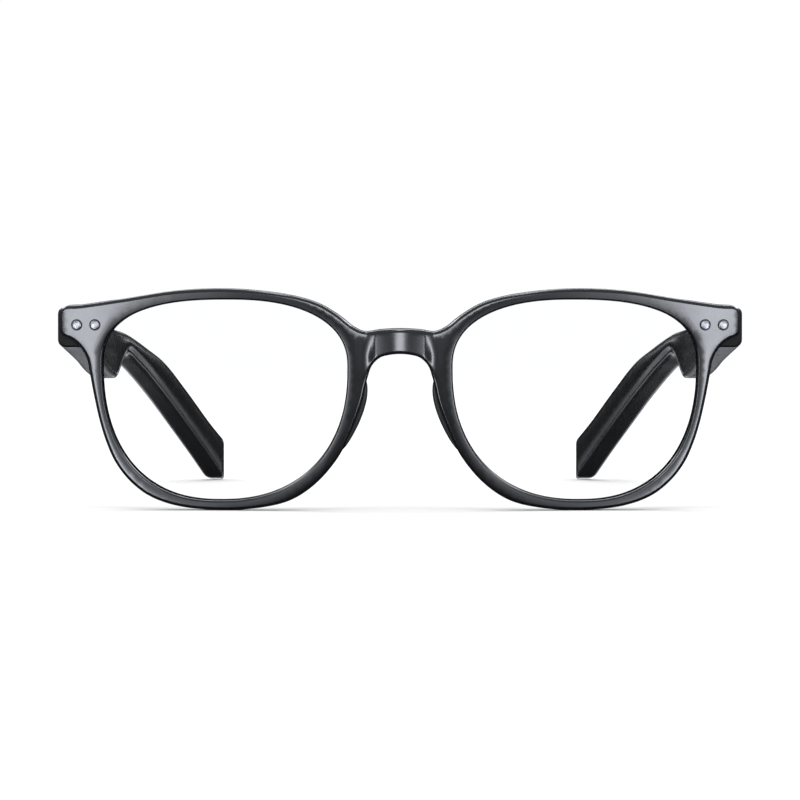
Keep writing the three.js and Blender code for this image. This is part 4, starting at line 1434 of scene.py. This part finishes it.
@dataclass
class Studio:
    """A pale floor, soft light and the camera.

    Attributes:
        camera_place: where the camera stands, in metres.
        camera_pitch: its angle from looking straight down, in degrees.
        lens: its focal length, in millimetres.
        floor_half: half the floor's width, in metres.
        room_front: how much paler the room is in front than behind.
        room_side: how much paler it is at its sides.
        room_low: its darkest radiance, behind and below.
        room_high: its palest, above and in front.
        backdrop: its radiance to the camera.
        wash: the strength of the floor's own light.
    """

    camera_place: tuple[float, float, float] = (0.0, -0.5776, 0.02873)
    camera_pitch: float = 89.4
    lens: float = 107.1
    floor_half: float = 40.0
    room_front: float = 0.4
    room_side: float = 0.4
    room_low: float = 0.03
    room_high: float = 0.8
    backdrop: float = 1.04
    wash: float = 2.7

    def build(self) -> None:
        """Makes the floor, the lights, the surroundings and the camera."""
        sheet = self.floor()
        self.surroundings()
        self.lights(sheet)
        self.camera()

    def floor(self) -> bpy.types.Object:
        """The floor: one broad sheet, with a fine tooth so that it isn't flat paint."""
        steps = np.linspace(-self.floor_half, self.floor_half, 25)
        points = [(x, y, 0.0) for y in steps for x in steps]
        n = len(steps)
        corners = [r * n + c for r in range(n - 1) for c in range(n - 1)]
        faces = [(k, k + 1, k + n + 1, k + n) for k in corners]
        data = bpy.data.meshes.new("floor")
        data.from_pydata(points, [], faces)
        sheet = bpy.data.objects.new("floor", data)
        bpy.context.scene.collection.objects.link(sheet)
        dress(sheet, Finish("matt_paper_floor", "#efefee", "#f3f3f2", 0.85, 0.05, 2.0, 0.02, 120, ior=1.4))
        sheet.visible_glossy = sheet.visible_shadow = False
        sheet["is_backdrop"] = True
        return sheet

    def surroundings(self) -> None:
        """The room: white to the eye; for the gloss pale above, in front and aside, and dark below."""
        world = bpy.data.worlds.new("room")
        world.use_nodes = True
        tree = world.node_tree
        tree.nodes.clear()
        place = add_node(tree, "ShaderNodeTexCoord").outputs["Generated"]
        split = add_node(tree, "ShaderNodeSeparateXYZ", links={0: place})
        aside = add_node(tree, "ShaderNodeMath", links={0: split.outputs["X"]}, operation="ABSOLUTE")
        tilt = add_node(
            tree, "ShaderNodeMath", {1: self.room_side}, {0: aside.outputs[0], 2: split.outputs["Z"]},
            operation="MULTIPLY_ADD",
        )
        level = add_node(
            tree, "ShaderNodeMath", {1: -self.room_front}, {0: split.outputs["Y"], 2: tilt.outputs[0]},
            operation="MULTIPLY_ADD",
        )
        room = add_node(
            tree, "ShaderNodeMapRange", {"To Min": self.room_low, "To Max": self.room_high},
            {"Value": level.outputs[0]},
        )
        seen = add_node(tree, "ShaderNodeLightPath").outputs["Is Camera Ray"]
        share = add_node(
            tree, "ShaderNodeMix", {3: self.backdrop}, {0: seen, 2: room.outputs["Result"]}, data_type="FLOAT"
        )
        daylight = {"Color": (0.98, 0.99, 1.0, 1)}
        light = add_node(tree, "ShaderNodeBackground", daylight, {"Strength": share.outputs[0]})
        add_node(tree, "ShaderNodeOutputWorld", links={"Surface": light.outputs["Background"]})
        bpy.context.scene.world = world
        bpy.context.scene.view_settings.view_transform = "Standard"

    def lights(self, sheet: bpy.types.Object) -> None:
        """The softboxes for the glasses, and the wash that keeps the floor even to its far end."""
        groups = {name: bpy.data.collections.new(name) for name in ("glasses", "front", "temples")}
        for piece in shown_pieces():
            if piece.name.endswith("_lens"):
                continue
            groups["glasses"].objects.link(piece)
            on_front = piece.name == "front" or "_rivet_" in piece.name or piece.name.endswith("_nose_pad")
            groups["front" if on_front else "temples"].objects.link(piece)
        for box in self.boxes():
            box.build(groups[box.group])
        ground = bpy.data.collections.new("ground")
        ground.objects.link(sheet)
        wash = bpy.data.lights.new("wash", "SUN")
        wash.energy, wash.angle = self.wash, math.radians(120)
        lamp = bpy.data.objects.new("wash", wash)
        lamp.rotation_euler = (math.radians(18), math.radians(-12), 0)
        lamp.light_linking.receiver_collection = ground
        bpy.context.scene.collection.objects.link(lamp)

    def boxes(self) -> list[Softbox]:
        """The softboxes: four at each side that fade inwards, three above, two behind, one in front."""
        panels = [
            ("bright", 0.128, 0.168, 16.0), ("half", 0.104, 0.128, 4.6),
            ("dim", 0.08, 0.104, 2.0), ("faint", 0.05, 0.08, 0.8),
        ]
        pairs = []
        for side in Side:
            for word, near, far, radiance in panels:
                middle = side.value * (near + far) / 2
                at, aim = (middle, -0.265, 0.0), (middle * 0.35, 0.0, 0.0)
                pairs.append(Softbox(f"{word}_{side.word}", at, aim, (far - near, 0.14), radiance, "front"))
        return pairs + [
            Softbox("top_strip", (0.0, -0.02, 0.5), (0.0, -0.02, 0.0), (0.05, 0.2), 12.0),
            Softbox("top_left", (0.33, 0.08, 0.36), (0.0, 0.0, 0.04), (0.5, 0.16), 11.0),
            Softbox("top_right", (-0.33, 0.08, 0.36), (0.0, 0.0, 0.04), (0.5, 0.16), 11.0),
            Softbox("rear", (0.0, 0.62, 0.42), (0.0, 0.0, 0.03), (1.3, 0.36), 4.0),
            Softbox("rear_low", (0.0, 0.62, -0.3), (0.0, 0.0, 0.03), (1.4, 0.22), 2.0, "temples"),
            Softbox("over_camera", (0.0, -0.62, 0.12), (0.0, -0.078, 0.036), (0.1, 0.23), 16.0),
        ]

    def camera(self) -> None:
        """The camera, level with the rims and a little above their middle."""
        data = bpy.data.cameras.new("camera")
        data.lens = self.lens
        data.sensor_width = 36.0
        data.clip_start, data.clip_end = 0.01, 50.0
        camera = bpy.data.objects.new("camera", data)
        camera.location = self.camera_place
        camera.rotation_euler = (math.radians(self.camera_pitch), 0.0, 0.0)
        bpy.context.scene.collection.objects.link(camera)
        bpy.context.scene.camera = camera


# ---------- putting it together ----------


def clear_startup() -> None:
    """Removes what a new Blender file holds."""
    for name in ("Cube", "Light", "Camera"):
        if name in bpy.data.objects:
            bpy.data.objects.remove(bpy.data.objects[name])


def seat(piece: bpy.types.Object, finish: Finish, body: Body, slot: str, *nodes: str) -> None:
    """Dresses a piece, ties it to its body, and hides the CAD nodes it stands for.

    Args:
        piece: the piece.
        finish: what it is made of.
        body: the rigid body that it rides.
        slot: not used.
        *nodes: the CAD nodes that it stands for.
    """
    dress(piece, finish)
    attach(piece, body.value)
    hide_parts(*nodes)
    LOG.info("%s: %d faces, %s", piece.name, len(piece.data.polygons), finish.name)


def build_front(bench: Bench) -> None:
    """Builds the front with its lenses, nose pads and rivets."""
    front = Front()
    piece = bench.make("front", front.frame_mesh())
    rivets = {"outer": 68.5, "inner": 64.6}
    height, well, well_depth = 39.65, 1.23, 0.55
    plate_low, plate_high, plate_depth = (62.65, 36.75), (70.45, 43.05), 1.15
    behind = (front.end_back - plate_depth, front.end_back + 1)
    tools = []
    for side in Side:
        for across in rivets.values():
            face = rivet_face(front, across, height)
            line = [(face - 3, well), (face + well_depth, well)]
            tools.append((turned(line, 1, (across, 0, height)), side))
        low, high = ((x, y, z) for (x, z), y in zip((plate_low, plate_high), behind))
        tools.append((block(low, high), side))
    carve(piece, bench, tools)
    seat(piece, FRONT_NYLON, Body.FRONT, "front_plastic", "front_frame")
    for side in Side:
        lens = bench.make(f"{side.word}_lens", front.lens_mesh(), side, 50)
        seat(lens, LENS_POLYCARBONATE, Body.FRONT, "clear_lens", f"lens_{side.word}")
        pad = bench.make(f"{side.word}_nose_pad", NosePad(front).mesh(), side, 60)
        seat(pad, PAD_SILICONE, Body.FRONT, "pad_rubber", f"nose_pad_{side.word}")
        for place, across in rivets.items():
            rivet = Rivet(across, height, rivet_face(front, across, height), front.end_back)
            head_piece = bench.make(f"{side.word}_rivet_{place}", rivet.mesh(), side, 40)
            seat(head_piece, RIVET_NICKEL_SILVER, Body.FRONT, "rivet_steel", f"rivet_{side.word}_{place}")


def rivet_face(front: Front, across: float, height: float) -> float:
    """How far back the leaning endpiece's face is at a rivet."""
    flat = float(front.plain_face(np.array([across]))[0])
    return flat - (height - front.lean_height) * math.tan(front.lean)


def build_temple(bench: Bench, side: Side) -> None:
    """Builds a temple's case and cover."""
    temple = Temple()
    body = Body.temple(side)
    case = bench.make(f"{side.word}_temple_case", temple.case_mesh(), side)
    for tool in temple.hinge_cuts():
        carve(case, bench, [(tool, side)])
    seat(case, TEMPLE_NYLON, body, "temple_plastic", f"temple_case_{side.word}")
    cover = bench.make(f"{side.word}_temple_cover", temple.cover_mesh(), side)
    seat(cover, COVER_ABS, body, "cover_plastic", f"temple_cover_{side.word}")


CARRIED = {
    "hinge_plate": HINGE_STEEL,
    "temple_hinge": HINGE_STEEL,
    "hinge_screw": SCREW_STEEL,
    "leaf_screw": SCREW_STEEL,
    "touch_sensor": SENSOR_FILM,
    "circuit_board": BOARD_LAMINATE,
    "microphone": SPEAKER_STEEL,
    "speaker_grille": SPEAKER_STEEL,
    "speaker": SPEAKER_STEEL,
    "battery_ribbon": SENSOR_FILM,
    "battery": CELL_FOIL,
    "charge_pin": CONTACT_GOLD,
    "charge_magnet": MAGNET_NICKEL,
}


def dress_carried() -> None:
    """Gives every CAD node that is still shown its finish, and eases its edges."""
    for name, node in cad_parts.items():
        if node.hide_render:
            continue
        finish = next(made for kind, made in CARRIED.items() if name.startswith(kind))
        dress(node, finish)
        sharpen(node.data, 32)
        ease = node.modifiers.new("eased edges", "BEVEL")
        ease.width, ease.segments, ease.limit_method = 0.05 * MM, 2, "ANGLE"
        ease.angle_limit = math.radians(35)
        LOG.info("%s: carried over, %s", name, finish.name)


def main() -> None:
    """Builds the glasses and the studio, and reports each piece."""
    logging.basicConfig(level=logging.INFO, format="%(message)s", stream=sys.stdout)
    clear_startup()
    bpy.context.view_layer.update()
    bench = Bench.from_hinge(back=Temple.pin_back, bottom=37.0)
    build_front(bench)
    for side in Side:
        build_temple(bench, side)
    dress_carried()
    Studio().build()


if __name__ == "__main__":
    main()
